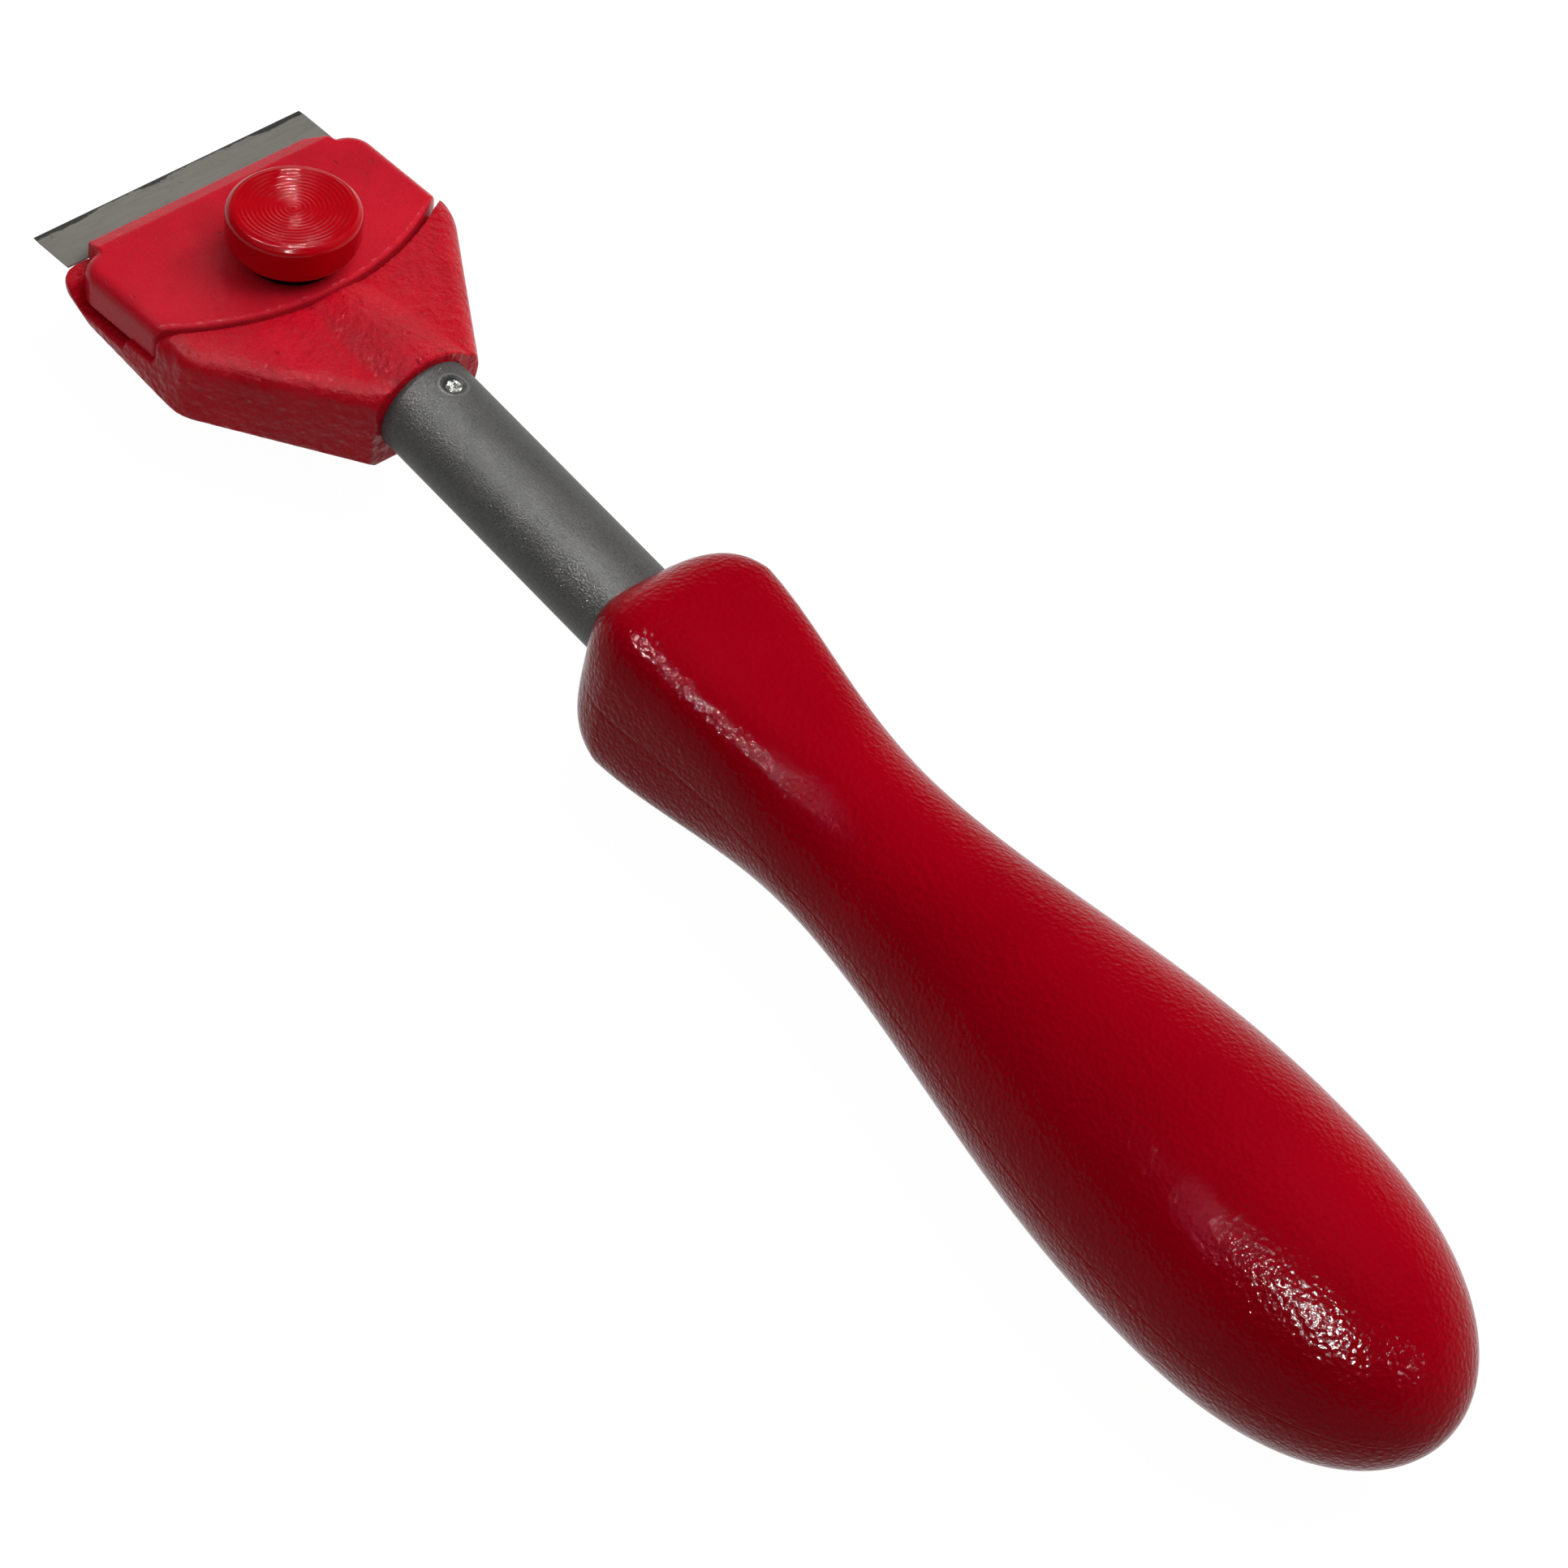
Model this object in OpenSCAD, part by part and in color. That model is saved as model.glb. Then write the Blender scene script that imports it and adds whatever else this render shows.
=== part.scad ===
// Hand scraper with a cast head, a clamp plate worked by a knob, a single-edge blade,
// a steel tube and a swelling two-shell handle. Lengths in millimetres, angles in degrees.
// X runs from the cutting edge to the butt, Y across the blade, Z up. The head is drawn
// in its own tilted frame: first number away from the cutting edge, third above the sheet.

/* [Overall] */
// Length from the cutting edge to the butt
overall_length = 218.5; // [214:0.5:224]
// Angle between the blade and the tube
head_tilt = 8.1; // [7:0.1:9]
// Height of the tube's axis above the cutting edge
edge_drop = 4.28; // [4:0.02:4.6]

/* [Blade] */
// Half the length of the cutting edge
blade_half_width = 19.25; // [19:0.05:19.4]
// Half the width of the narrow part held in the head
tang_half_width = 16; // [15.6:0.05:16.1]
// Depth of the wide part, edge to shoulders
shoulder_depth = 6.4; // [6.2:0.05:6.8]
// Depth of the sheet, edge to back
blade_depth = 18.5; // [18:0.1:18.7]
// Thickness of the sheet
sheet_thickness = 0.23; // [0.2:0.01:0.25]
// Width of the ground bevel
hone_length = 1; // [0.6:0.1:1.4]
// Thickness of the strip folded over the back
spine_strip = 0.4; // [0.3:0.05:0.45]
// Depth of the folded strip on the sheet
spine_depth = 3.8; // [3.2:0.1:4]
// Half the length of the folded strip
spine_half_width = 15.5; // [15:0.1:15.6]

/* [Head casting] */
// Half the width across the foot
foot_half_width = 20.8; // [20.5:0.1:21.2]
// Half the width across the jaws
jaw_half_width = 21.3; // [20.8:0.1:21.6]
// Half the width of the deck on the near side
near_half_width = 20.7; // [20.5:0.1:21.2]
// Half the width of the deck on the far side
far_half_width = 21.3; // [20.6:0.1:22]
// Where the casting ends at the tube
head_rear = 46.4; // [46:0.1:48]
// Depth of the flat underside below the tube's axis
foot_drop = 7; // [6.8:0.1:7.4]
// Height of the rear deck above the sheet
deck_height = 2.9; // [2.6:0.1:3.1]
// Where the foot's straight sides would meet its tapering sides
foot_corner_x = 29.1; // [28.8:0.1:30]
// Where the deck's near side would meet its taper
near_corner_x = 29; // [24:0.1:30]
// Where the deck's far side would meet its taper
far_corner_x = 25.5; // [24:0.1:30]
// Half the width of the foot at its rear
foot_rear_half_width = 6.9; // [6.2:0.1:7.2]
// Half the width of the deck at its rear
deck_rear_half_width = 7.45; // [7:0.05:7.8]
// Roundness of the foot's corners seen from above
foot_corner_radius = 5.2; // [4:0.1:8]
// Roundness of the deck's corners seen from above
deck_corner_radius = 8.8; // [6:0.1:10]
// Rounding of the deck's upper edges
deck_round = 2.4; // [1.8:0.1:3]
// Rounding of the chin under the blade
chin_radius = 3.1; // [2.9:0.1:3.2]
// Where the underside starts to be flat
foot_front = 13; // [12.5:0.5:16]
// Softening of the lower edges
foot_round = 0.8; // [0.4:0.1:1.2]
// Roundness of the jaws' corners
jaw_round = 1.6; // [1.2:0.1:2]
// Radius of the neck where it reaches the tube
neck_radius = 7.45; // [7.2:0.05:7.6]
// Half the width of the neck's flat cheeks
neck_half_width = 7.05; // [6.9:0.05:7.2]
// Radius of the neck's shallow start
neck_start_radius = 11; // [10.6:0.1:11.5]
// Where the neck starts inside the casting
neck_start_x = 28; // [27.5:0.1:28.5]
// Height of the neck's start above the deck
neck_rise = 0.45; // [0.2:0.05:0.6]
// Radius of the stub that enters the tube
spigot_radius = 5.2; // [5:0.05:5.3]
// Length of the stub
spigot_length = 14; // [12:0.5:18]

/* [Blade seat] */
// End of the land that carries the sheet
land_end = 9.2; // [9:0.1:9.4]
// End of the ramp behind the land
ramp_end = 11; // [10.8:0.1:11.2]
// Depth of the channel under the folded strip
channel_depth = 2.4; // [2:0.1:2.6]
// Free space behind the sheet in the channel
channel_clearance = 0.4; // [0.3:0.05:0.7]
// Free space behind the folded strip in the plate's recess
recess_clearance = 0.6; // [0.4:0.1:1]
// Depth of the plate's seat
seat_depth = 1.5; // [1.4:0.05:1.6]
// Height of the ears beside the sheet
ear_height = 0.1; // [0.05:0.01:0.11]
// Free space beside the narrow part of the blade
tang_clearance = 0.25; // [0.15:0.05:0.3]
// Free space above and below the sheet
sheet_clearance = 0.02; // [0.02:0.01:0.04]
// Free space behind the blade's shoulders
shoulder_clearance = 0.05; // [0.04:0.01:0.1]

/* [Clamp plate] */
// Half the width of the plate
plate_half_width = 20.3; // [20:0.1:20.4]
// Height of the plate's top above the sheet
plate_top = 3.2; // [3:0.1:3.4]
// Front of the plate's full-width body
plate_front = 8.6; // [8.4:0.1:9.2]
// Height of the nose's upright face
nose_height = 2.4; // [2.2:0.1:2.6]
// Half the width of the nose at its tip
nose_half_width = 16.5; // [16.3:0.1:16.8]
// Half the width of the nose at its root
nose_root_half_width = 17.4; // [17.2:0.1:17.6]
// Reach of the nose's worn far corner at its tip
nose_far_tip = 14.6; // [14.2:0.1:16.4]
// Radius of the curved rear edge
arc_radius = 34.8; // [34:0.2:36]
// Distance of the curved edge behind the screw
plate_tail = 7.15; // [6.9:0.05:7.5]
// Gap between the curved edge and the casting
arc_gap = 0.65; // [0.5:0.05:0.8]
// Rounding of the plate's side edges
plate_round = 1.6; // [1.2:0.1:2.4]
// Roundness of the plate's front corners seen from above
plate_corner_radius = 3.4; // [3:0.1:3.8]
// Softening of the rear and lower edges
plate_chamfer = 0.3; // [0.2:0.05:0.4]
// Rear end of the pad that presses on the sheet
pad_rear = 11.2; // [11:0.1:11.4]
// Height of the recess over the folded strip
recess_height = 1.1; // [1:0.05:1.3]
// Half the distance between the side skirts
skirt_inner_half = 16.4; // [16.35:0.05:16.6]
// Where the skirts start to drop
skirt_front = 9.5; // [9.45:0.05:9.6]
// Where the skirts reach their full depth
skirt_full = 10.8; // [10.7:0.05:11]
// Free space under the skirts and the heel
heel_clearance = 0.05; // [0.03:0.01:0.08]

/* [Knob and screw] */
// Distance of the screw behind the folded strip
screw_gap = 3.685; // [3.585:0.05:3.985]
// Radius of the screw
screw_radius = 2.5; // [2.4:0.05:2.6]
// Free space round the screw in the casting
screw_clearance = 0.05; // [0.02:0.01:0.08]
// Height of the screw's lower end
screw_tip_height = -5.4; // [-5.5:0.1:-5.2]
// Height of the screw's upper end
screw_head_height = 8.6; // [8:0.1:9]
// Bevel of the screw's end
screw_bevel = 0.5; // [0.3:0.1:0.7]
// Radius of the plate's hole
plate_hole_radius = 2.9; // [2.8:0.05:3]
// Radius of the screw's groove
groove_radius = 2.05; // [1.95:0.05:2.2]
// Lower side of the ring
ring_low = -0.95; // [-1:0.05:-0.9]
// Thickness of the ring
ring_thickness = 0.7; // [0.6:0.05:0.75]
// Outer radius of the ring
ring_radius = 3.4; // [3.2:0.05:3.5]
// Free space round the ring in the plate
ring_clearance = 0.05; // [0.04:0.01:0.1]
// Width round the ring in the plate
ring_side_clearance = 0.4; // [0.3:0.1:0.6]
// Outer radius of the washer
washer_radius = 6.2; // [5.9:0.1:6.6]
// Thickness of the washer
washer_thickness = 0.8; // [0.6:0.1:1]
// Radius of the knob under its rim
knob_radius = 7.85; // [7.6:0.05:8.1]
// Radius of the knob at its foot
knob_low_radius = 7.3; // [7:0.1:7.5]
// Height of the knob's rim
knob_top = 10.45; // [10.2:0.05:10.7]
// Rounding of the rim
rim_round = 1.15; // [0.9:0.05:1.3]
// Rounding of the knob's lower edge
low_round = 0.8; // [0.5:0.1:1]
// Depth of the dish in the face
dish_depth = 0.5; // [0.3:0.05:0.7]

/* [Tube and pin] */
// Radius of the tube
tube_radius = 6.11; // [6.05:0.01:6.2]
// Where the tube ends inside the handle
tube_end = 190; // [186:1:194]
// Distance of the pin from the cutting edge
pin_x = 49.8; // [49.5:0.1:51]
// How far the pin lies off the tube's crown
pin_y = 0.6; // [0:0.1:0.8]
// Radius of the pin
pin_radius = 0.95; // [0.8:0.05:1.1]
// Depth of the dimple round the pin
dimple_depth = 0.45; // [0.3:0.05:0.6]
// Radius of the dimple at the tube's surface
dimple_radius = 1.65; // [1.4:0.05:1.8]
// Height of the pin's lower end
pin_low = -2; // [-3:0.5:0]

/* [Handle] */
// Where the handle starts
handle_start = 84.2; // [83.6:0.1:85]
// Outline of the handle at its start
mouth_radius = 7.85; // [7.6:0.05:8.2]
// Where the swell of the guard's front would end
front_end = 102; // [98:0.5:106]
// Outline that the guard's front swells towards
front_radius = 14.6; // [14.4:0.1:14.9]
// Where the guard starts to fall towards the waist
guard_x = 90.7; // [90:0.1:92]
// Outline of the guard
guard_radius = 14.33; // [14:0.05:14.6]
// Where the waist is narrowest
waist_x = 122.3; // [120:0.5:126]
// Outline of the waist
waist_radius = 10.55; // [10.2:0.05:11]
// Where the bulb is widest
bulb_x = 183; // [180:0.5:185]
// Radius of the bulb
bulb_radius = 16.93; // [16.7:0.01:17.2]
// How square the guard's section is, 2 is round
guard_power = 4.1; // [2.6:0.1:4.4]
// Where the guard's section starts to turn round
square_end = 99; // [97:0.5:102]
// Free space between the tube and what it is pressed on or into
press_clearance = 0.02; // [0.01:0.01:0.05]
// Wall of the shells
shell_wall = 2.6; // [2.4:0.1:3]
// Thickness of the ribs that grip the tube
rib_thickness = 2.2; // [1.8:0.1:2.6]

/* [Hidden] */
$fn = 96;

// Run of every cut past the face it opens
overrun = 1;
// Height that clears the whole head
clear_height = 14;
// Thickness of the discs that carry the neck
disc_thickness = 0.05;
// Sides of the spheres and posts that shape the casting
cast_sides = 32;
// Radius of the posts along the foot
foot_post_radius = 2;
// How far behind and above the chin's centre the jaws' corners lie
jaw_corner_offset = [2.5, 0.9];

half_sheet = sheet_thickness / 2;
land_height = -half_sheet - sheet_clearance;
pad_height = half_sheet + sheet_clearance;
spine_half_thickness = half_sheet + spine_strip;
spine_front = blade_depth - spine_depth;
spine_back = blade_depth + spine_half_thickness;
channel_rear = blade_depth + channel_clearance;
recess_rear = spine_back + recess_clearance;
screw_s = spine_back + screw_gap;
arc_apex = screw_s + plate_tail;
knob_low = plate_top + washer_thickness;
heel_height = -seat_depth + heel_clearance;
arc_centre = arc_apex - arc_radius;
head_front = (shoulder_depth + shoulder_clearance) * cos(head_tilt);
chin_height = -edge_drop + head_front * tan(head_tilt);
cast_half_width = max(foot_half_width, jaw_half_width, near_half_width, far_half_width);

// Centres of the posts along one side, from the jaw to behind the rear face
function side_posts(half, corner_x, corner_radius, rear_half, post_radius) =
  let (
    taper = atan2(half - rear_half, head_rear - corner_x),
    reach = corner_radius - post_radius,
    start = [corner_x - corner_radius * tan(taper / 2), half - corner_radius],
    last = start + reach * [sin(taper), cos(taper)],
    tail = head_rear + overrun - last.x
  )
  [
    start + reach * [0, 1],
    start + reach * [sin(taper / 3), cos(taper / 3)],
    start + reach * [sin(2 * taper / 3), cos(2 * taper / 3)],
    last,
    last + tail * [1, -tan(taper)]
  ];

foot_posts = side_posts(foot_half_width, foot_corner_x, foot_corner_radius,
  foot_rear_half_width, foot_post_radius);
near_posts = side_posts(near_half_width, near_corner_x, deck_corner_radius,
  deck_rear_half_width, deck_round);
far_posts = side_posts(far_half_width, far_corner_x, deck_corner_radius,
  deck_rear_half_width, deck_round);

// Height of the deck over the tube's axis at a distance from the cutting edge
function deck_level(x) = (deck_height + x * sin(head_tilt)) / cos(head_tilt) - edge_drop;

// The whole tool stands centred over the origin, lowest point at height zero
module placed() {
  translate([-overall_length / 2, 0, bulb_radius]) children();
}

// The tilted frame of the head, its origin on the cutting edge
module in_head() {
  translate([0, 0, -edge_drop]) rotate([0, -head_tilt, 0]) children();
}

// A profile drawn along the head, stretched across it to both sides
module across(half) {
  rotate([90, 0, 0]) translate([0, 0, -half]) linear_extrude(2 * half) children();
}

// A round bar along the tube's axis
module bar(start, end, radius) {
  translate([start, 0, 0]) rotate([0, 90, 0]) cylinder(h = end - start, r = radius);
}

// Blade

module blade_side() {
  polygon([
    [0, 0],
    [hone_length, half_sheet],
    [blade_depth, half_sheet],
    [blade_depth, -half_sheet],
    [hone_length, -half_sheet]
  ]);
}

module blade_plan() {
  polygon([
    [-overrun, -blade_half_width],
    [-overrun, blade_half_width],
    [shoulder_depth, blade_half_width],
    [shoulder_depth, tang_half_width],
    [blade_depth + overrun, tang_half_width],
    [blade_depth + overrun, -tang_half_width],
    [shoulder_depth, -tang_half_width],
    [shoulder_depth, -blade_half_width]
  ]);
}

module blade() {
  color([0.55, 0.55, 0.53]) placed() in_head() intersection() {
    across(blade_half_width + overrun) blade_side();
    translate([0, 0, -overrun]) linear_extrude(2 * overrun) blade_plan();
  }
}

// Strip folded over the back of the blade
module blade_spine() {
  color([0.62, 0.62, 0.6]) placed() in_head() across(spine_half_width) difference() {
    union() {
      translate([spine_front, -spine_half_thickness])
        square([blade_depth - spine_front, 2 * spine_half_thickness]);
      translate([blade_depth, 0]) circle(spine_half_thickness);
    }
    translate([spine_front - overrun, -half_sheet])
      square([blade_depth - spine_front + overrun, sheet_thickness]);
  }
}

// Head casting

// Chin, side walls and deck of the casting, drawn as one rounded mass
module head_mass() {
  hull() for (side = [-1, 1]) {
    translate([head_front + chin_radius, side * (jaw_half_width - chin_radius), chin_height])
      sphere(chin_radius, $fn = cast_sides);
    translate([head_front + jaw_corner_offset.x, side * (jaw_half_width - jaw_round),
        chin_height + jaw_corner_offset.y])
      sphere(jaw_round, $fn = cast_sides);
    foot_post([foot_front, foot_half_width - foot_post_radius], side);
    for (post = foot_posts) foot_post(post, side);
    for (post = side < 0 ? near_posts : far_posts)
      translate([post.x, side * post.y, deck_level(post.x) - deck_round / cos(head_tilt)])
        sphere(deck_round, $fn = cast_sides);
  }
}

// Disc with a softened lower edge, standing on the underside
module foot_post(post, side) {
  translate([post.x, side * post.y, -foot_drop]) cylinder(h = foot_round,
    r1 = foot_post_radius - foot_round, r2 = foot_post_radius, $fn = cast_sides);
}

// Neck that swells out of the deck into the round seat of the tube
module neck() {
  start_top = deck_level(neck_start_x) + neck_rise;
  intersection() {
    hull() {
      translate([neck_start_x, 0, start_top - neck_start_radius]) rotate([0, 90, 0])
        cylinder(h = disc_thickness, r = neck_start_radius);
      translate([head_rear - disc_thickness, 0, 0]) rotate([0, 90, 0])
        cylinder(h = disc_thickness, r = neck_radius);
    }
    translate([0, -neck_half_width, -foot_drop])
      cube([overall_length, 2 * neck_half_width, clear_height + foot_drop]);
  }
}

// Room for the clamp plate: land, ramp, channel and seat, closed by the curved wall
module plate_bed() {
  in_head() intersection() {
    translate([arc_centre, 0, -foot_drop])
      cylinder(h = foot_drop + clear_height, r = arc_radius + arc_gap);
    across(cast_half_width + overrun) polygon([
      [0, clear_height],
      [0, ear_height],
      [land_end, ear_height],
      [ramp_end, -channel_depth],
      [channel_rear, -channel_depth],
      [channel_rear, -seat_depth],
      [arc_apex + overrun, -seat_depth],
      [arc_apex + overrun, clear_height]
    ]);
  }
}

// Shallow bed in the land that holds the sheet between the ears
module sheet_bed() {
  half = tang_half_width + tang_clearance;
  in_head() translate([0, -half, land_height])
    cube([(land_end + ramp_end) / 2, 2 * half, clear_height]);
}

module head_base() {
  color([0.75, 0.06, 0.13]) placed() difference() {
    union() {
      intersection() {
        head_mass();
        translate([0, -cast_half_width - overrun, -foot_drop - overrun])
          cube([head_rear, 2 * (cast_half_width + overrun), foot_drop + clear_height]);
      }
      neck();
      bar(head_rear - overrun, head_rear + spigot_length, spigot_radius - press_clearance);
    }
    plate_bed();
    sheet_bed();
    in_head() translate([screw_s, 0, -clear_height])
      cylinder(h = clear_height, r = screw_radius + screw_clearance);
    translate([pin_x, pin_y, pin_low]) cylinder(h = clear_height, r = pin_radius);
  }
}

// Clamp plate

module plate_plan() {
  shoulder_s = plate_front + plate_corner_radius;
  shoulder_y = plate_half_width - plate_corner_radius;
  intersection() {
    translate([arc_centre, 0]) circle(arc_radius);
    union() {
      translate([shoulder_s, -plate_half_width]) square([arc_radius, 2 * plate_half_width]);
      translate([plate_front, -shoulder_y]) square([plate_corner_radius + overrun, 2 * shoulder_y]);
      for (side = [-1, 1])
        translate([shoulder_s, side * shoulder_y]) circle(plate_corner_radius);
      polygon([
        [shoulder_depth, -nose_half_width],
        [plate_front + overrun, -nose_root_half_width],
        [plate_front + overrun, nose_root_half_width],
        [plate_front, nose_root_half_width],
        [shoulder_depth, nose_far_tip]
      ]);
    }
  }
}

module plate_side() {
  polygon([
    [0, pad_height],
    [0, nose_height],
    [shoulder_depth, nose_height],
    [plate_front, plate_top],
    [arc_apex + overrun, plate_top],
    [arc_apex + overrun, heel_height],
    [skirt_full, heel_height],
    [skirt_front, pad_height]
  ]);
}

// What the plate leaves open over the sheet and the folded strip
module plate_recess() {
  across(skirt_inner_half) polygon([
    [0, -channel_depth],
    [0, pad_height],
    [pad_rear, pad_height],
    [pad_rear, recess_height],
    [recess_rear, recess_height],
    [recess_rear, -channel_depth]
  ]);
}

// Quarter rounding seen end on, for the plate's upper side edges
module edge_waste() {
  difference() {
    square(plate_round + overrun);
    circle(plate_round);
  }
}

module plate_edges() {
  shoulder_s = plate_front + plate_corner_radius;
  shoulder_y = plate_half_width - plate_corner_radius;
  for (side = [0, 1]) mirror([0, side, 0]) {
    translate([shoulder_s, plate_half_width - plate_round, plate_top - plate_round])
      rotate([90, 0, 90]) linear_extrude(arc_radius) edge_waste();
    intersection() {
      translate([shoulder_s, shoulder_y, plate_top - plate_round]) rotate_extrude()
        translate([plate_corner_radius - plate_round, 0]) edge_waste();
      translate([shoulder_s - clear_height, shoulder_y, 0])
        cube([clear_height, clear_height, clear_height]);
    }
  }
}

// Softened upper edge along the curved rear
module arc_edge() {
  translate([arc_centre, 0, 0]) rotate_extrude() polygon([
    [arc_radius - plate_chamfer, plate_top],
    [arc_radius - plate_chamfer, plate_top + overrun],
    [arc_radius + overrun, plate_top + overrun],
    [arc_radius + overrun, plate_top - plate_chamfer],
    [arc_radius, plate_top - plate_chamfer]
  ]);
}

module clamp_plate() {
  color([0.79, 0.14, 0.2]) placed() in_head() difference() {
    intersection() {
      across(plate_half_width + overrun) plate_side();
      translate([0, 0, -channel_depth]) linear_extrude(clear_height) plate_plan();
    }
    plate_recess();
    plate_edges();
    arc_edge();
    translate([screw_s, 0, -channel_depth])
      cylinder(h = clear_height, r = plate_hole_radius);
    translate([screw_s, 0, -channel_depth])
      cylinder(h = channel_depth + ring_low + ring_thickness + ring_clearance,
        r = ring_radius + ring_side_clearance);
  }
}

// Knob, screw, washer and ring

module knob_outline() {
  dish = (pow(knob_radius - rim_round, 2) + pow(dish_depth, 2)) / (2 * dish_depth);
  difference() {
    union() {
      polygon([
        [0, knob_low],
        [knob_low_radius - low_round, knob_low],
        [knob_low_radius, knob_low + low_round],
        [knob_radius, knob_top - rim_round],
        [knob_radius - rim_round, knob_top],
        [0, knob_top]
      ]);
      translate([knob_low_radius - low_round, knob_low + low_round]) circle(low_round);
      translate([knob_radius - rim_round, knob_top - rim_round]) circle(rim_round);
    }
    translate([0, knob_top - dish_depth + dish]) circle(dish);
    square([screw_radius, screw_head_height]);
  }
}

module clamp_knob() {
  color([0.72, 0.02, 0.1]) placed() in_head() translate([screw_s, 0, 0])
    rotate_extrude() knob_outline();
}

module clamp_screw() {
  ring_top = ring_low + ring_thickness;
  color([0.6, 0.6, 0.6]) placed() in_head() translate([screw_s, 0, 0]) rotate_extrude()
    polygon([
      [0, screw_tip_height],
      [screw_radius - screw_bevel, screw_tip_height],
      [screw_radius, screw_tip_height + screw_bevel],
      [screw_radius, ring_low],
      [groove_radius, ring_low],
      [groove_radius, ring_top],
      [screw_radius, ring_top],
      [screw_radius, screw_head_height],
      [0, screw_head_height]
    ]);
}

module knob_washer() {
  color([0.55, 0.55, 0.55]) placed() in_head() translate([screw_s, 0, plate_top])
    difference() {
      cylinder(h = washer_thickness, r = washer_radius);
      translate([0, 0, -overrun])
        cylinder(h = washer_thickness + 2 * overrun, r = screw_radius + screw_clearance);
    }
}

module screw_ring() {
  color([0.5, 0.5, 0.5]) placed() in_head() translate([screw_s, 0, ring_low]) difference() {
    cylinder(h = ring_thickness, r = ring_radius);
    translate([0, 0, -overrun]) cylinder(h = ring_thickness + 2 * overrun, r = groove_radius);
  }
}

// Tube and pin

module shaft_tube() {
  color([0.36, 0.37, 0.36]) placed() difference() {
    bar(head_rear, tube_end, tube_radius);
    bar(head_rear - overrun, tube_end + overrun, spigot_radius);
    translate([pin_x, pin_y, 0]) cylinder(h = clear_height, r = pin_radius);
    translate([pin_x, pin_y, tube_radius - dimple_depth])
      cylinder(h = dimple_depth, r1 = pin_radius, r2 = dimple_radius);
    translate([pin_x, pin_y, tube_radius]) cylinder(h = overrun, r = dimple_radius);
  }
}

module tube_pin() {
  color([0.75, 0.75, 0.73]) placed() translate([pin_x, pin_y, pin_low])
    cylinder(h = tube_radius - dimple_depth - pin_low, r = pin_radius);
}

// Handle

// Direction in which the outline values were taken, measured from the side
outline_angle = 35;
// Turn of the swell's cosine, below one starts it earlier
swell_share = 0.9;
// Fullness of the guard's front
front_power = 5.2;
// Fullness of the butt, two is a plain ellipse
butt_power = 2.5;
// Radius of the small flat at the butt
butt_flat = 1.2;
// Points along each stretch of the handle
mouth_steps = 7;
guard_steps = 9;
bulb_steps = 11;
butt_steps = 9;
// Points round each half of the section
half_steps = 16;

// Smooth step from one to zero
function fall(u) = (1 + cos(180 * pow(u, swell_share))) / 2;

// Outline of the guard's front, rising steeply from the mouth
function front_outline(x) =
  let (left = max(0, 1 - (x - handle_start) / (front_end - handle_start)))
  mouth_radius + (front_radius - mouth_radius) * (1 - pow(left, front_power));

function outline(x) =
  x < waist_x
    ? min(front_outline(x), waist_radius + (guard_radius - waist_radius)
      * fall(max(0, x - guard_x) / (waist_x - guard_x)))
  : x < bulb_x
    ? bulb_radius + (waist_radius - bulb_radius) * fall((x - waist_x) / (bulb_x - waist_x))
  : bulb_radius * sqrt(max(0, 1 - pow((x - bulb_x) / (overall_length - bulb_x), butt_power)));

// How square the section is at a distance from the cutting edge
function section_power(x) =
  x < square_end ? guard_power
  : x < waist_x ? 2 + (guard_power - 2) * fall((x - square_end) / (waist_x - square_end))
  : 2;

// Half the width of the section that shows the given outline
function half_width(x) =
  let (q = section_power(x) / (section_power(x) - 1))
  outline(x) / pow(pow(cos(outline_angle), q) + pow(sin(outline_angle), q), 1 / q);

function half_ring(x, reach, power) = [
  for (k = [0 : half_steps])
    let (c = cos(180 * k / half_steps), s = k == half_steps ? 0 : sin(180 * k / half_steps))
    [x, reach * sign(c) * pow(abs(c), 2 / power), reach * pow(s, 2 / power)]
];

handle_stations = concat(
  [for (i = [0 : mouth_steps - 1])
    handle_start + (guard_x - handle_start) * pow(i / mouth_steps, 1.4)],
  [for (i = [0 : guard_steps - 1]) guard_x + (waist_x - guard_x) * i / guard_steps],
  [for (i = [0 : bulb_steps - 1]) waist_x + (bulb_x - waist_x) * i / bulb_steps],
  [for (i = [0 : butt_steps - 1])
    bulb_x + (overall_length - bulb_x) * pow(sin(90 * i / butt_steps), 2 / butt_power)]
);

// The upper half of the handle's body, flat on its lower side
module half_body() {
  rings = concat(
    [for (x = handle_stations) half_ring(x, half_width(x), section_power(x))],
    [half_ring(overall_length, butt_flat, 2)]
  );
  count = len(rings);
  row = half_steps + 1;
  points = [for (ring = rings) for (point = ring) point];
  skin = [for (i = [0 : count - 2]) for (k = [0 : half_steps - 1])
    each [
      [i * row + k, i * row + k + 1, (i + 1) * row + k],
      [i * row + k + 1, (i + 1) * row + k + 1, (i + 1) * row + k]
    ]];
  underside = [for (i = [0 : count - 2])
    [i * row, (i + 1) * row, (i + 1) * row + half_steps, i * row + half_steps]];
  mouth = [for (k = [half_steps : -1 : 0]) k];
  butt = [for (k = [0 : half_steps]) (count - 1) * row + k];
  polyhedron(points, concat(skin, underside, [mouth], [butt]));
}

// One hollow between two ribs, following the outline
module hollow(start, end) {
  translate([start, 0, 0]) rotate([0, 90, 0]) cylinder(h = end - start,
    r1 = half_width(start) - shell_wall, r2 = half_width(end) - shell_wall);
}

// Where the hollows of the shells begin and end
guard_hollow = [96, 109];
grip_hollow_start = 139;
first_rib = 158;
second_rib = 178;
bulb_hollow_end = 203;

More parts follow.
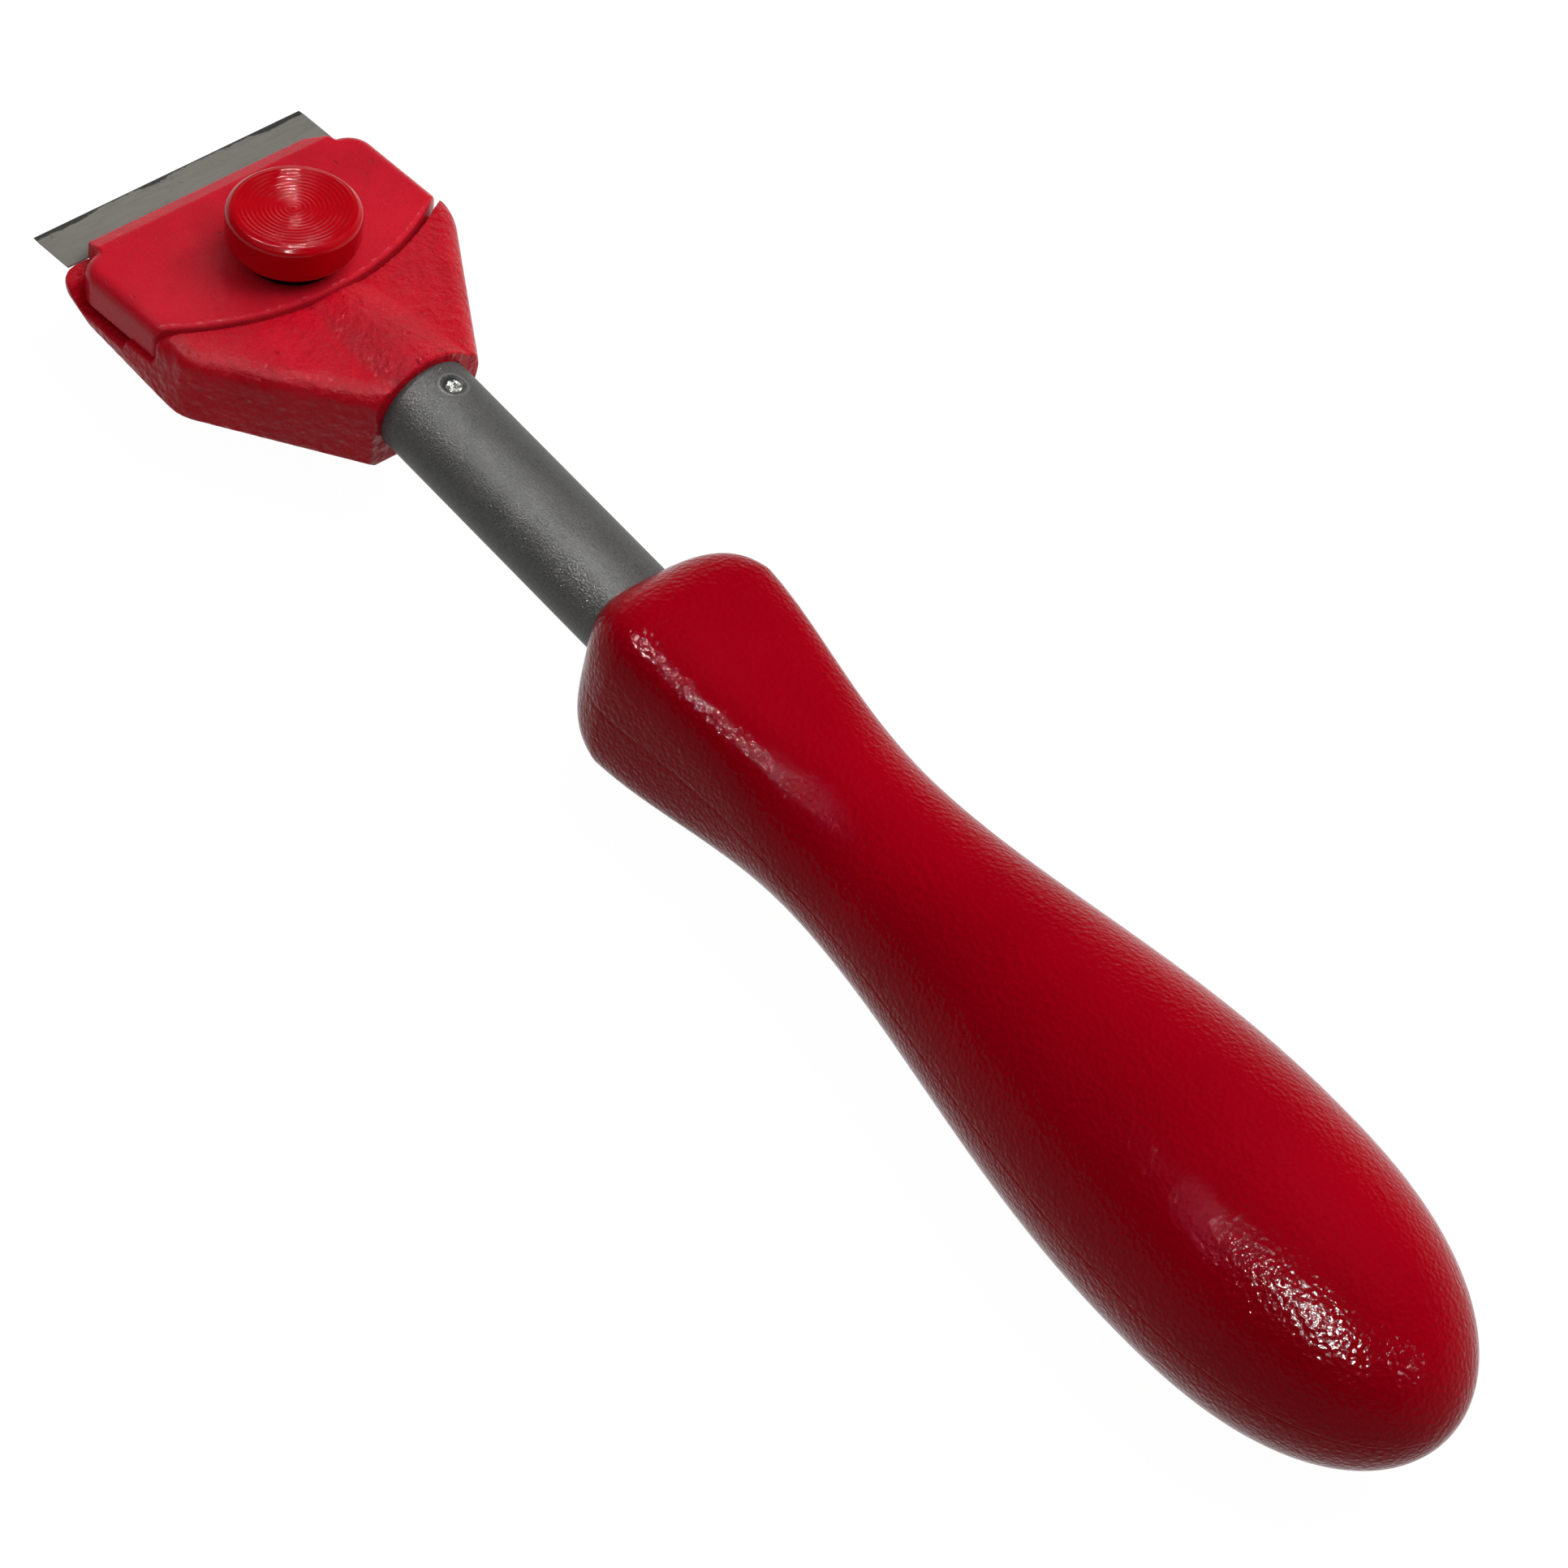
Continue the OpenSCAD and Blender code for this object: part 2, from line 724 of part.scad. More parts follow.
module half_shell() {
  difference() {
    half_body();
    bar(handle_start - overrun, tube_end, tube_radius + press_clearance);
    hollow(guard_hollow[0], guard_hollow[1]);
    hollow(grip_hollow_start, first_rib);
    hollow(first_rib + rib_thickness, second_rib);
    hollow(second_rib + rib_thickness, bulb_hollow_end);
  }
}

module handle_upper() {
  color([0.65, 0.02, 0.09]) placed() half_shell();
}

module handle_lower() {
  color([0.6, 0.02, 0.09]) placed() mirror([0, 0, 1]) half_shell();
}

blade();
blade_spine();
head_base();
clamp_plate();
clamp_knob();
clamp_screw();
knob_washer();
screw_ring();
shaft_tube();
tube_pin();
handle_upper();
handle_lower();
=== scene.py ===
"""Hand scraper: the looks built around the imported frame, as one sidebar of operators."""

import math

import bmesh
import bpy
from mathutils import Matrix, Vector


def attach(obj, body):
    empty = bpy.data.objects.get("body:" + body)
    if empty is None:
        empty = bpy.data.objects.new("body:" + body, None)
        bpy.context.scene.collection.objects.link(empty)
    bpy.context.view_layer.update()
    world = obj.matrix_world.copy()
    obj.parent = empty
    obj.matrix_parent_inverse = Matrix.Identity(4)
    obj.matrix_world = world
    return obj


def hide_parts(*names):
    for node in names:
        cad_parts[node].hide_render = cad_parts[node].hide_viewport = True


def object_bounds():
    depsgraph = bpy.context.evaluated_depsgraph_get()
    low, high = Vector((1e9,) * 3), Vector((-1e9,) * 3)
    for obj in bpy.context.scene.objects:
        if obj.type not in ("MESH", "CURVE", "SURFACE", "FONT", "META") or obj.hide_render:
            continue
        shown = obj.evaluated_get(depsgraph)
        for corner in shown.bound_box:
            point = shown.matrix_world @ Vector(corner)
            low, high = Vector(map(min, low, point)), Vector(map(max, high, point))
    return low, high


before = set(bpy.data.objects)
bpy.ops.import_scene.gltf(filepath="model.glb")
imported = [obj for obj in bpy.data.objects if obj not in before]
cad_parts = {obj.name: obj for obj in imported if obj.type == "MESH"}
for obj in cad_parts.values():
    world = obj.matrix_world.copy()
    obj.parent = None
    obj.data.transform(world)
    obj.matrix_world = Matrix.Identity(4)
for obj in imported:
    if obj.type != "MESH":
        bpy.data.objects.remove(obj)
CAD_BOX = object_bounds()

bl_info = {
    "name": "Blade scraper looks",
    "version": (1, 0, 0),
    "blender": (4, 5, 0),
    "location": "View3D > Sidebar > Scraper",
    "description": "Dresses the packed scraper: casting, clamp, blade, tube, handle and stage",
    "category": "Object",
}

MM = 0.001
# The tool is centred over the origin: half its length and the bulb's radius place its axis
HALF_LENGTH = (CAD_BOX[1].x - CAD_BOX[0].x) / 2
AXIS_HEIGHT = (CAD_BOX[1].z - CAD_BOX[0].z) / 2
HEAD_TILT = math.radians(8.1)
EDGE_DROP = 4.28 * MM
SCREW_S = 22.7 * MM
PLATE_ARC_RADIUS = 34.8 * MM
PLATE_ARC_CENTRE = 29.85 * MM - PLATE_ARC_RADIUS
TOOL_MARK_MM = 0.55
PIN_PLACE = Vector((49.8 * MM - HALF_LENGTH, 0.6 * MM, 0))
# Powers of the handle's front, butt and swells, how much the points crowd at its seam, and
# the tilt in degrees of the view that its outline comes from
FRONT_POWER = 5.2
BUTT_POWER = 2.5
SWELL_POWER = 0.9
SEAM_CROWDING = 0.46
OUTLINE_VIEW = 35
# The camera's turn, rise and roll in degrees, its place in the tool's frame, and its focal
# length in pixels of a picture this wide
CAMERA_ANGLES = (39.77, 48.32, 13.53)
CAMERA_PLACE = (582.887 * MM, -567.739 * MM, 827.509 * MM)
FOCAL_PIXELS = 12502
PICTURE_PIXELS = 1932
SENSOR_WIDTH = 36.0
# Lamps: name, place, aim, width, depth, watts, spread. The first two give the light, the
# others only highlights, so that these don't change how a colour renders. A narrow spread,
# as of a lamp with a grid, keeps a highlight on the part that the lamp is aimed at.
WIDE = 180
LIGHTING = ("key", "fill")
LAMPS = (
    ("key", (0.06, 0.42, 0.8), (0, 0, 0.01), 0.9, 0.9, 8.0, WIDE),
    ("fill", (-0.05, -0.45, 0.75), (0, 0, 0.01), 0.8, 0.8, 2.0, WIDE),
    ("bulb_start", (-0.02, -0.58, 0.59), (0.086, -0.011, 0.029), 0.16, 0.025, 0.014, 4),
    ("bulb_middle", (0.22, -0.53, 0.62), (0.093, -0.009, 0.029), 0.2, 0.025, 0.055, 4),
    ("bulb_end", (0.41, -0.48, 0.59), (0.097, -0.008, 0.028), 0.12, 0.035, 0.08, 4),
    ("butt", (0.76, 0.09, 0.48), (0.104, -0.003, 0.026), 0.05, 0.05, 0.003, 4),
    ("guard", (-0.09, -0.43, 0.7), (-0.006, -0.008, 0.026), 0.05, 0.05, 0.014, 4),
    ("tube", (-0.116, -0.067, 0.15), (-0.046, -0.003, 0.021), 0.06, 0.06, 0.03, 14),
    ("ridge", (-0.286, -0.168, 0.77), (-0.078, -0.016, 0.02), 0.08, 0.08, 0.006, 3),
    ("rim", (0.205, -0.405, 0.65), (-0.083, -0.005, 0.026), 0.12, 0.03, 0.007, 3),
    ("face", (-0.5, 0.291, 0.709), (-0.087, 0, 0.026), 0.03, 0.03, 0.0011, 2.2),
)


def linear(code):
    """An sRGB hex colour as linear red, green, blue and alpha."""
    parts = [int(code[i : i + 2], 16) / 255 for i in (1, 3, 5)]
    return tuple(
        c / 12.92 if c <= 0.04045 else ((c + 0.055) / 1.055) ** 2.4 for c in parts
    ) + (1.0,)


def tool_to_row():
    """From the tool's own frame, cutting edge at zero and axis level, to the row frame."""
    return Matrix.Translation((-HALF_LENGTH, 0, AXIS_HEIGHT))


def head_to_row():
    """From the head's tilted frame, origin on the cutting edge, to the row frame."""
    return (
        tool_to_row()
        @ Matrix.Translation((0, 0, -EDGE_DROP))
        @ Matrix.Rotation(-HEAD_TILT, 4, "Y")
    )


# ---------------------------------------------------------------- settings


class ScraperShape(bpy.types.PropertyGroup):
    mouth_x: bpy.props.FloatProperty(
        name="Handle start", description="Where the handle starts, from the cutting edge",
        default=84.2 * MM, unit="LENGTH", precision=4)
    mouth_radius: bpy.props.FloatProperty(
        name="Mouth radius", description="Outline of the handle where the tube goes in",
        default=7.85 * MM, unit="LENGTH", precision=4)
    front_end: bpy.props.FloatProperty(
        name="Front end", description="Where the swell of the guard's front would end",
        default=102.0 * MM, unit="LENGTH", precision=4)
    front_radius: bpy.props.FloatProperty(
        name="Front radius", description="Outline that the guard's front swells towards",
        default=14.6 * MM, unit="LENGTH", precision=4)
    guard_x: bpy.props.FloatProperty(
        name="Guard", description="Where the guard starts to fall towards the waist",
        default=90.7 * MM, unit="LENGTH", precision=4)
    guard_radius: bpy.props.FloatProperty(
        name="Guard radius", description="Outline of the guard",
        default=14.33 * MM, unit="LENGTH", precision=4)
    waist_x: bpy.props.FloatProperty(
        name="Waist", description="Where the waist is narrowest",
        default=122.3 * MM, unit="LENGTH", precision=4)
    waist_radius: bpy.props.FloatProperty(
        name="Waist radius", description="Outline of the waist",
        default=10.55 * MM, unit="LENGTH", precision=4)
    bulb_x: bpy.props.FloatProperty(
        name="Bulb", description="Where the bulb is widest",
        default=183.0 * MM, unit="LENGTH", precision=4)
    bulb_radius: bpy.props.FloatProperty(
        name="Bulb radius", description="Radius of the bulb",
        default=AXIS_HEIGHT, unit="LENGTH", precision=4)
    end_x: bpy.props.FloatProperty(
        name="Butt", description="Where the handle ends",
        default=2 * HALF_LENGTH, unit="LENGTH", precision=4)
    square_end: bpy.props.FloatProperty(
        name="Square end", description="Where the guard's squarish section starts to turn round",
        default=99.0 * MM, unit="LENGTH", precision=4)
    guard_power: bpy.props.FloatProperty(
        name="Guard squareness", description="Section power at the guard, 2 is round",
        default=4.1, min=2.0, max=5.0)
    seam_depth: bpy.props.FloatProperty(
        name="Seam depth", description="Depth of the line where the two shells meet",
        default=0.06 * MM, unit="LENGTH", precision=5)
    seam_width: bpy.props.FloatProperty(
        name="Seam width", description="Half the width of that line",
        default=0.2 * MM, unit="LENGTH", precision=5)
    casting_grain: bpy.props.FloatProperty(
        name="Casting grain", description="Height of the cast surface's lumps under the paint",
        default=0.045 * MM, unit="LENGTH", precision=6)


class ScraperFinish(bpy.types.PropertyGroup):
    casting_red: bpy.props.FloatVectorProperty(
        name="Casting paint", description="Red paint on the head", subtype="COLOR", size=4,
        default=linear("#CC0B22"), min=0, max=1)
    # Painted light: the plate's red is set lighter than the casting's to make up for the knob's
    # shadow on it
    plate_red_with_painted_light: bpy.props.FloatVectorProperty(
        name="Plate paint", description="Red paint on the clamp plate", subtype="COLOR", size=4,
        default=linear("#D41C2F"), min=0, max=1)
    knob_red: bpy.props.FloatVectorProperty(
        name="Knob lacquer", description="Red lacquer on the turned knob", subtype="COLOR",
        size=4, default=linear("#C20010"), min=0, max=1)
    handle_red: bpy.props.FloatVectorProperty(
        name="Handle plastic", description="Red of the moulded handle", subtype="COLOR",
        size=4, default=linear("#A80016"), min=0, max=1)
    tube_grey: bpy.props.FloatVectorProperty(
        name="Tube enamel", description="Grey metallic enamel on the tube", subtype="COLOR",
        size=4, default=linear("#565654"), min=0, max=1)
    blade_grey: bpy.props.FloatVectorProperty(
        name="Blade steel", description="Dulled steel of the blade", subtype="COLOR",
        size=4, default=linear("#8F8C85"), min=0, max=1)


# ---------------------------------------------------------------- nodes

MATH, VECTOR, RANGE, MIX, NOISE, CELLS, BUMP, PRINCIPLED, OUTPUT = (
    "ShaderNodeMath", "ShaderNodeVectorMath", "ShaderNodeMapRange", "ShaderNodeMix",
    "ShaderNodeTexNoise", "ShaderNodeTexVoronoi", "ShaderNodeBump",
    "ShaderNodeBsdfPrincipled", "ShaderNodeOutputMaterial")
# Sockets of a Mix node set to colour
SHARE, FIRST, SECOND, MIXED = 0, 6, 7, 2


def add(tree, kind, links=None, out=0, **settings):
    """Adds a node with its settings, its values and its links, and gives one output.

    With None for out it gives all outputs, and for a node that has none it gives None."""
    node = tree.nodes.new(kind)
    for key, value in settings.items():
        setattr(node, key, value)
    for key, value in (links or {}).items():
        socket = node.inputs[key]
        if isinstance(value, bpy.types.NodeSocket):
            tree.links.new(value, socket)
        else:
            socket.default_value = value
    if out is None:
        return node.outputs
    return node.outputs[out] if len(node.outputs) else None


def new_material(name):
    """An empty node material, its tree, and the place on the piece in millimetres."""
    material = bpy.data.materials.new(name)
    material.use_nodes = True
    tree = material.node_tree
    tree.nodes.clear()
    place = add(
        tree, VECTOR, {0: add(tree, "ShaderNodeTexCoord", out="Object"), 1: (1 / MM,) * 3},
        operation="MULTIPLY")
    return material, tree, place


def head_place(tree, place, along=0.0):
    """The place in millimetres in the head's own frame, from a point along its middle."""
    start = head_to_row() @ Vector((along, 0, 0))
    offset = add(
        tree, VECTOR, {0: place, 1: tuple(c / MM for c in start)}, operation="SUBTRACT")
    return add(
        tree, "ShaderNodeVectorRotate", {"Vector": offset, "Angle": HEAD_TILT},
        rotation_type="Y_AXIS")


def darker(colour, share):
    """A colour with its light cut to a share."""
    return tuple(c * share for c in colour[:3]) + (1.0,)


# ---------------------------------------------------------------- materials


def cast_paint(name, red, grain, size, rim_sheen_strength=0.0):
    """Satin enamel sprayed on a rough casting.

    The spray fills the casting's grain only partly, so highlights break into pebbles half a
    millimetre across or less; grain and size are their height and width in millimetres.
    Small voids stay open as dark pin holes, and a few fine scratches cross the walls. On the
    clamp plate a broken pale pink line along the rear edge is a painted highlight; the last
    argument sets how strong it is."""
    material, tree, place = new_material(name)
    broad = add(tree, NOISE, {"Vector": place, "Scale": 1 / 9.0, "Detail": 3.0})
    pebbles = add(
        tree, NOISE, {"Vector": place, "Scale": 1 / size, "Detail": 3.0, "Roughness": 0.62})
    lumps = add(tree, NOISE, {"Vector": place, "Scale": 1 / 1.3, "Detail": 1.0})
    voids = add(tree, CELLS, {"Vector": place, "Scale": 1 / 6.0, "Randomness": 1.0})
    some = add(tree, NOISE, {"Vector": place, "Scale": 1 / 11.0, "Detail": 1.0})
    pits = add(tree, MATH, {
        0: add(tree, RANGE, {"Value": voids, "From Min": 0.05, "From Max": 0.075,
                             "To Min": 1.0, "To Max": 0.0}),
        1: add(tree, RANGE, {"Value": some, "From Min": 0.52, "From Max": 0.56})},
        operation="MULTIPLY")
    streak = add(tree, VECTOR, {0: place, 1: (0.18, 1.0, 3.2)}, operation="MULTIPLY")
    scratch = add(tree, NOISE, {"Vector": streak, "Scale": 1.0, "Detail": 2.0})
    lines = add(tree, RANGE, {
        "Value": scratch, "From Min": 0.7, "From Max": 0.74, "To Min": 0.0, "To Max": 1.0})
    body = add(tree, MIX, {
        SHARE: add(tree, RANGE, {"Value": broad, "From Min": 0.35, "From Max": 0.65}),
        FIRST: darker(red, 0.84), SECOND: tuple(red)}, MIXED, data_type="RGBA")
    body = add(tree, MIX, {
        SHARE: add(tree, MATH, {0: lines, 1: 0.25}, operation="MULTIPLY"), FIRST: body,
        SECOND: darker(red, 0.45)}, MIXED, data_type="RGBA")
    # Painted highlight: a ragged pale pink line drawn along the plate's rear edge
    if rim_sheen_strength:
        # Distance from the rear arc's centre, less its radius, in the head's frame
        local = head_place(tree, place, PLATE_ARC_CENTRE)
        flat = add(tree, VECTOR, {0: local, 1: (1, 1, 0)}, operation="MULTIPLY")
        reach = add(tree, VECTOR, {0: flat}, "Value", operation="LENGTH")
        rim = add(tree, MATH, {
            0: add(tree, MATH, {0: reach, 1: PLATE_ARC_RADIUS / MM - 0.45},
                   operation="SUBTRACT")}, operation="ABSOLUTE")
        ragged = add(tree, NOISE, {"Vector": place, "Scale": 1 / 0.7, "Detail": 3.0})
        edge = add(tree, MATH, {0: ragged, 1: 1.1, 2: rim}, operation="MULTIPLY_ADD")
        painted_rim_sheen = add(tree, RANGE, {"Value": edge, "From Min": 0.46, "From Max": 0.58,
                                   "To Min": rim_sheen_strength, "To Max": 0.0})
        # Painted highlight mixed in where the rounded rear edge would catch the light
        body = add(tree, MIX, {SHARE: painted_rim_sheen, FIRST: body, SECOND: linear("#E07078")},
                   MIXED, data_type="RGBA")
    body = add(tree, MIX, {SHARE: pits, FIRST: body, SECOND: linear("#200206")},
               MIXED, data_type="RGBA")
    # The walls are dressed smoother than the top
    facing = add(tree, "ShaderNodeSeparateXYZ",
                 {0: add(tree, "ShaderNodeTexCoord", out="Normal")}, 2)
    rough_top = add(tree, RANGE, {"Value": facing, "From Min": 0.25, "From Max": 0.8,
                                  "To Min": 0.22, "To Max": 1.0})
    normal = add(tree, BUMP, {"Height": lumps, "Distance": grain * 1.2 * MM})
    normal = add(tree, BUMP, {"Height": pebbles, "Distance": grain * MM,
                              "Strength": rough_top, "Normal": normal})
    normal = add(tree, BUMP, {
        "Height": add(tree, MATH, {0: pits, 1: lines}, operation="ADD"), "Distance": 0.12 * MM,
        "Normal": normal}, invert=True)
    gloss = add(tree, RANGE, {"Value": pebbles, "From Min": 0.3, "From Max": 0.7,
                              "To Min": 0.22, "To Max": 0.3})
    surface = add(tree, PRINCIPLED, {
        "Base Color": body, "Roughness": gloss, "Normal": normal, "IOR": 1.46,
        "Specular IOR Level": 0.11})
    add(tree, OUTPUT, {"Surface": surface})
    return material


def turned_lacquer(name, red):
    """Clear red lacquer over a knob turned on a lathe.

    The tool marks under it are rings half a millimetre apart, deeper in some places than in
    others. They draw a lamp's reflection out into fans across the face."""
    material, tree, place = new_material(name)
    local = head_place(tree, place, SCREW_S)
    flat = add(tree, VECTOR, {0: local, 1: (1, 1, 0)}, operation="MULTIPLY")
    radius = add(tree, VECTOR, {0: flat}, "Value", operation="LENGTH")
    wander = add(tree, NOISE, {"Vector": place, "Scale": 1 / 5.0})
    uneven = add(tree, NOISE, {"Vector": place, "Scale": 1 / 2.2})
    cloud = add(tree, NOISE, {"Vector": place, "Scale": 1 / 6.0})
    peel = add(tree, NOISE, {"Vector": place, "Scale": 1 / 0.6, "Detail": 1.0})
    phase = add(tree, MATH, {
        0: add(tree, MATH, {0: wander, 1: 0.15, 2: radius}, operation="MULTIPLY_ADD"),
        1: 2 * math.pi / TOOL_MARK_MM}, operation="MULTIPLY")
    rings = add(tree, MATH, {
        0: add(tree, MATH, {0: phase}, operation="SINE"),
        1: add(tree, RANGE, {"Value": uneven, "From Min": 0.35, "From Max": 0.65,
                             "To Min": 0.2})}, operation="MULTIPLY")
    body = add(tree, MIX, {
        SHARE: add(tree, RANGE, {"Value": cloud, "From Min": 0.35, "From Max": 0.65}),
        FIRST: darker(red, 0.85), SECOND: tuple(red)}, MIXED, data_type="RGBA")
    normal = add(tree, BUMP, {"Height": rings, "Distance": 0.028 * MM})
    normal = add(tree, BUMP, {"Height": peel, "Distance": 0.006 * MM, "Normal": normal})
    surface = add(tree, PRINCIPLED, {
        "Base Color": body, "Roughness": 0.18, "Normal": normal, "IOR": 1.5,
        "Specular IOR Level": 0.16})
    add(tree, OUTPUT, {"Surface": surface})
    return material


def grip_plastic(name, red):
    """Cellulose-like gloss plastic, moulded in a faintly etched tool.

    The etching leaves a leathery grain under half a millimetre across. It breaks the lamps'
    reflections into sparkling patches and darkens the sides seen at a slant."""
    material, tree, place = new_material(name)
    cells = add(
        tree, CELLS,
        {"Vector": place, "Scale": 1 / 0.7, "Randomness": 1.0, "Smoothness": 0.2},
        feature="SMOOTH_F1")
    ripple = add(tree, NOISE, {"Vector": place, "Scale": 1 / 0.55, "Detail": 2.0})
    cloud = add(tree, NOISE, {"Vector": place, "Scale": 1 / 25.0})
    patch = add(tree, NOISE, {"Vector": place, "Scale": 1 / 10.0, "Detail": 3.0})
    specks = add(tree, CELLS, {"Vector": place, "Scale": 1 / 9.0, "Randomness": 1.0})
    dirt = add(tree, RANGE, {"Value": specks, "From Min": 0.012, "From Max": 0.02,
                             "To Min": 0.6, "To Max": 0.0})
    body = add(tree, MIX, {
        SHARE: add(tree, RANGE, {"Value": cloud, "From Min": 0.35, "From Max": 0.65}),
        FIRST: darker(red, 0.86), SECOND: tuple(red)}, MIXED, data_type="RGBA")
    body = add(tree, MIX, {SHARE: dirt, FIRST: body, SECOND: linear("#2C0508")},
               MIXED, data_type="RGBA")
    normal = add(tree, BUMP, {"Height": cells, "Distance": 0.08 * MM})
    normal = add(tree, BUMP, {"Height": ripple, "Distance": 0.075 * MM, "Normal": normal})
    gloss = add(tree, RANGE, {"Value": patch, "From Min": 0.3, "From Max": 0.7,
                              "To Min": 0.1, "To Max": 0.14})
    surface = add(tree, PRINCIPLED, {
        "Base Color": body, "Roughness": gloss, "Normal": normal, "IOR": 1.49,
        "Specular IOR Level": 0.04})
    add(tree, OUTPUT, {"Surface": surface})
    return material


def flake_enamel(name, grey):
    """Stoved enamel with metal flake on the tube, rubbed in a few places.

    It is a dark grey whose flake sparkles only where a lamp is reflected. The flake is
    drawn a quarter of a millimetre across, coarser than real, so that it shows."""
    material, tree, place = new_material(name)
    flake = add(
        tree, NOISE, {"Vector": place, "Scale": 1 / 0.27, "Detail": 2.0, "Roughness": 0.7})
    cloud = add(tree, NOISE, {"Vector": place, "Scale": 1 / 6.0, "Detail": 3.0})
    streak = add(tree, VECTOR, {0: place, 1: (0.35, 1.6, 1.6)}, operation="MULTIPLY")
    rub = add(tree, NOISE, {"Vector": streak, "Scale": 1.0, "Detail": 4.0, "Roughness": 0.6})
    marks = add(tree, RANGE, {"Value": rub, "From Min": 0.67, "From Max": 0.7,
                              "To Min": 0.0, "To Max": 0.7})
    body = add(tree, MIX, {
        SHARE: add(tree, RANGE, {"Value": flake, "From Min": 0.38, "From Max": 0.66}),
        FIRST: darker(grey, 0.72), SECOND: darker(grey, 1.35)}, MIXED, data_type="RGBA")
    body = add(tree, MIX, {
        SHARE: add(tree, RANGE, {"Value": cloud, "From Min": 0.3, "From Max": 0.7,
                                 "To Max": 0.4}),
        FIRST: body, SECOND: tuple(grey)}, MIXED, data_type="RGBA")
    body = add(tree, MIX, {SHARE: marks, FIRST: body, SECOND: linear("#232321")},
               MIXED, data_type="RGBA")
    # Painted shade darkens the dimple round the pin, and a painted highlight lightens its rim
    height = add(tree, "ShaderNodeSeparateXYZ", {0: place}, 2)
    upper = add(tree, MATH, {0: height, 1: AXIS_HEIGHT / MM}, operation="GREATER_THAN")
    offset = add(tree, VECTOR, {0: place, 1: tuple(c / MM for c in PIN_PLACE)},
                 operation="SUBTRACT")
    flat = add(tree, VECTOR, {0: offset, 1: (1, 1, 0)}, operation="MULTIPLY")
    reach = add(tree, VECTOR, {0: flat}, "Value", operation="LENGTH")
    wobbly = add(tree, MATH, {0: flake, 1: 0.5, 2: reach}, operation="MULTIPLY_ADD")
    painted_dimple_shade = add(tree, RANGE, {"Value": wobbly, "From Min": 1.35, "From Max": 1.75,
                               "To Min": 0.85, "To Max": 0.0})
    rim = add(tree, MATH, {
        0: add(tree, MATH, {0: wobbly, 1: 1.95}, operation="SUBTRACT")}, operation="ABSOLUTE")
    painted_rim_sheen = add(tree, RANGE, {"Value": rim, "From Min": 0.05, "From Max": 0.16,
                               "To Min": 0.7, "To Max": 0.0})
    # Painted shade: the inside of the dimple is darkened to near black
    body = add(tree, MIX, {
        SHARE: add(tree, MATH, {0: painted_dimple_shade, 1: upper}, operation="MULTIPLY"), FIRST: body,
        SECOND: linear("#1E1E1C")}, MIXED, data_type="RGBA")
    # Painted highlight: a pale grey ring along the dimple's rim
    body = add(tree, MIX, {
        SHARE: add(tree, MATH, {0: painted_rim_sheen, 1: upper}, operation="MULTIPLY"), FIRST: body,
        SECOND: linear("#82827C")}, MIXED, data_type="RGBA")
    normal = add(tree, BUMP, {"Height": flake, "Distance": 0.12 * MM})
    normal = add(tree, BUMP, {"Height": marks, "Distance": 0.04 * MM, "Normal": normal},
                 invert=True)
    gloss = add(tree, RANGE, {"Value": flake, "From Min": 0.3, "From Max": 0.7,
                              "To Min": 0.4, "To Max": 0.5})
    surface = add(tree, PRINCIPLED, {
        "Base Color": body, "Roughness": gloss, "Normal": normal, "Metallic": 0.12,
        "Specular IOR Level": 0.12})
    add(tree, OUTPUT, {"Surface": surface})
    return material


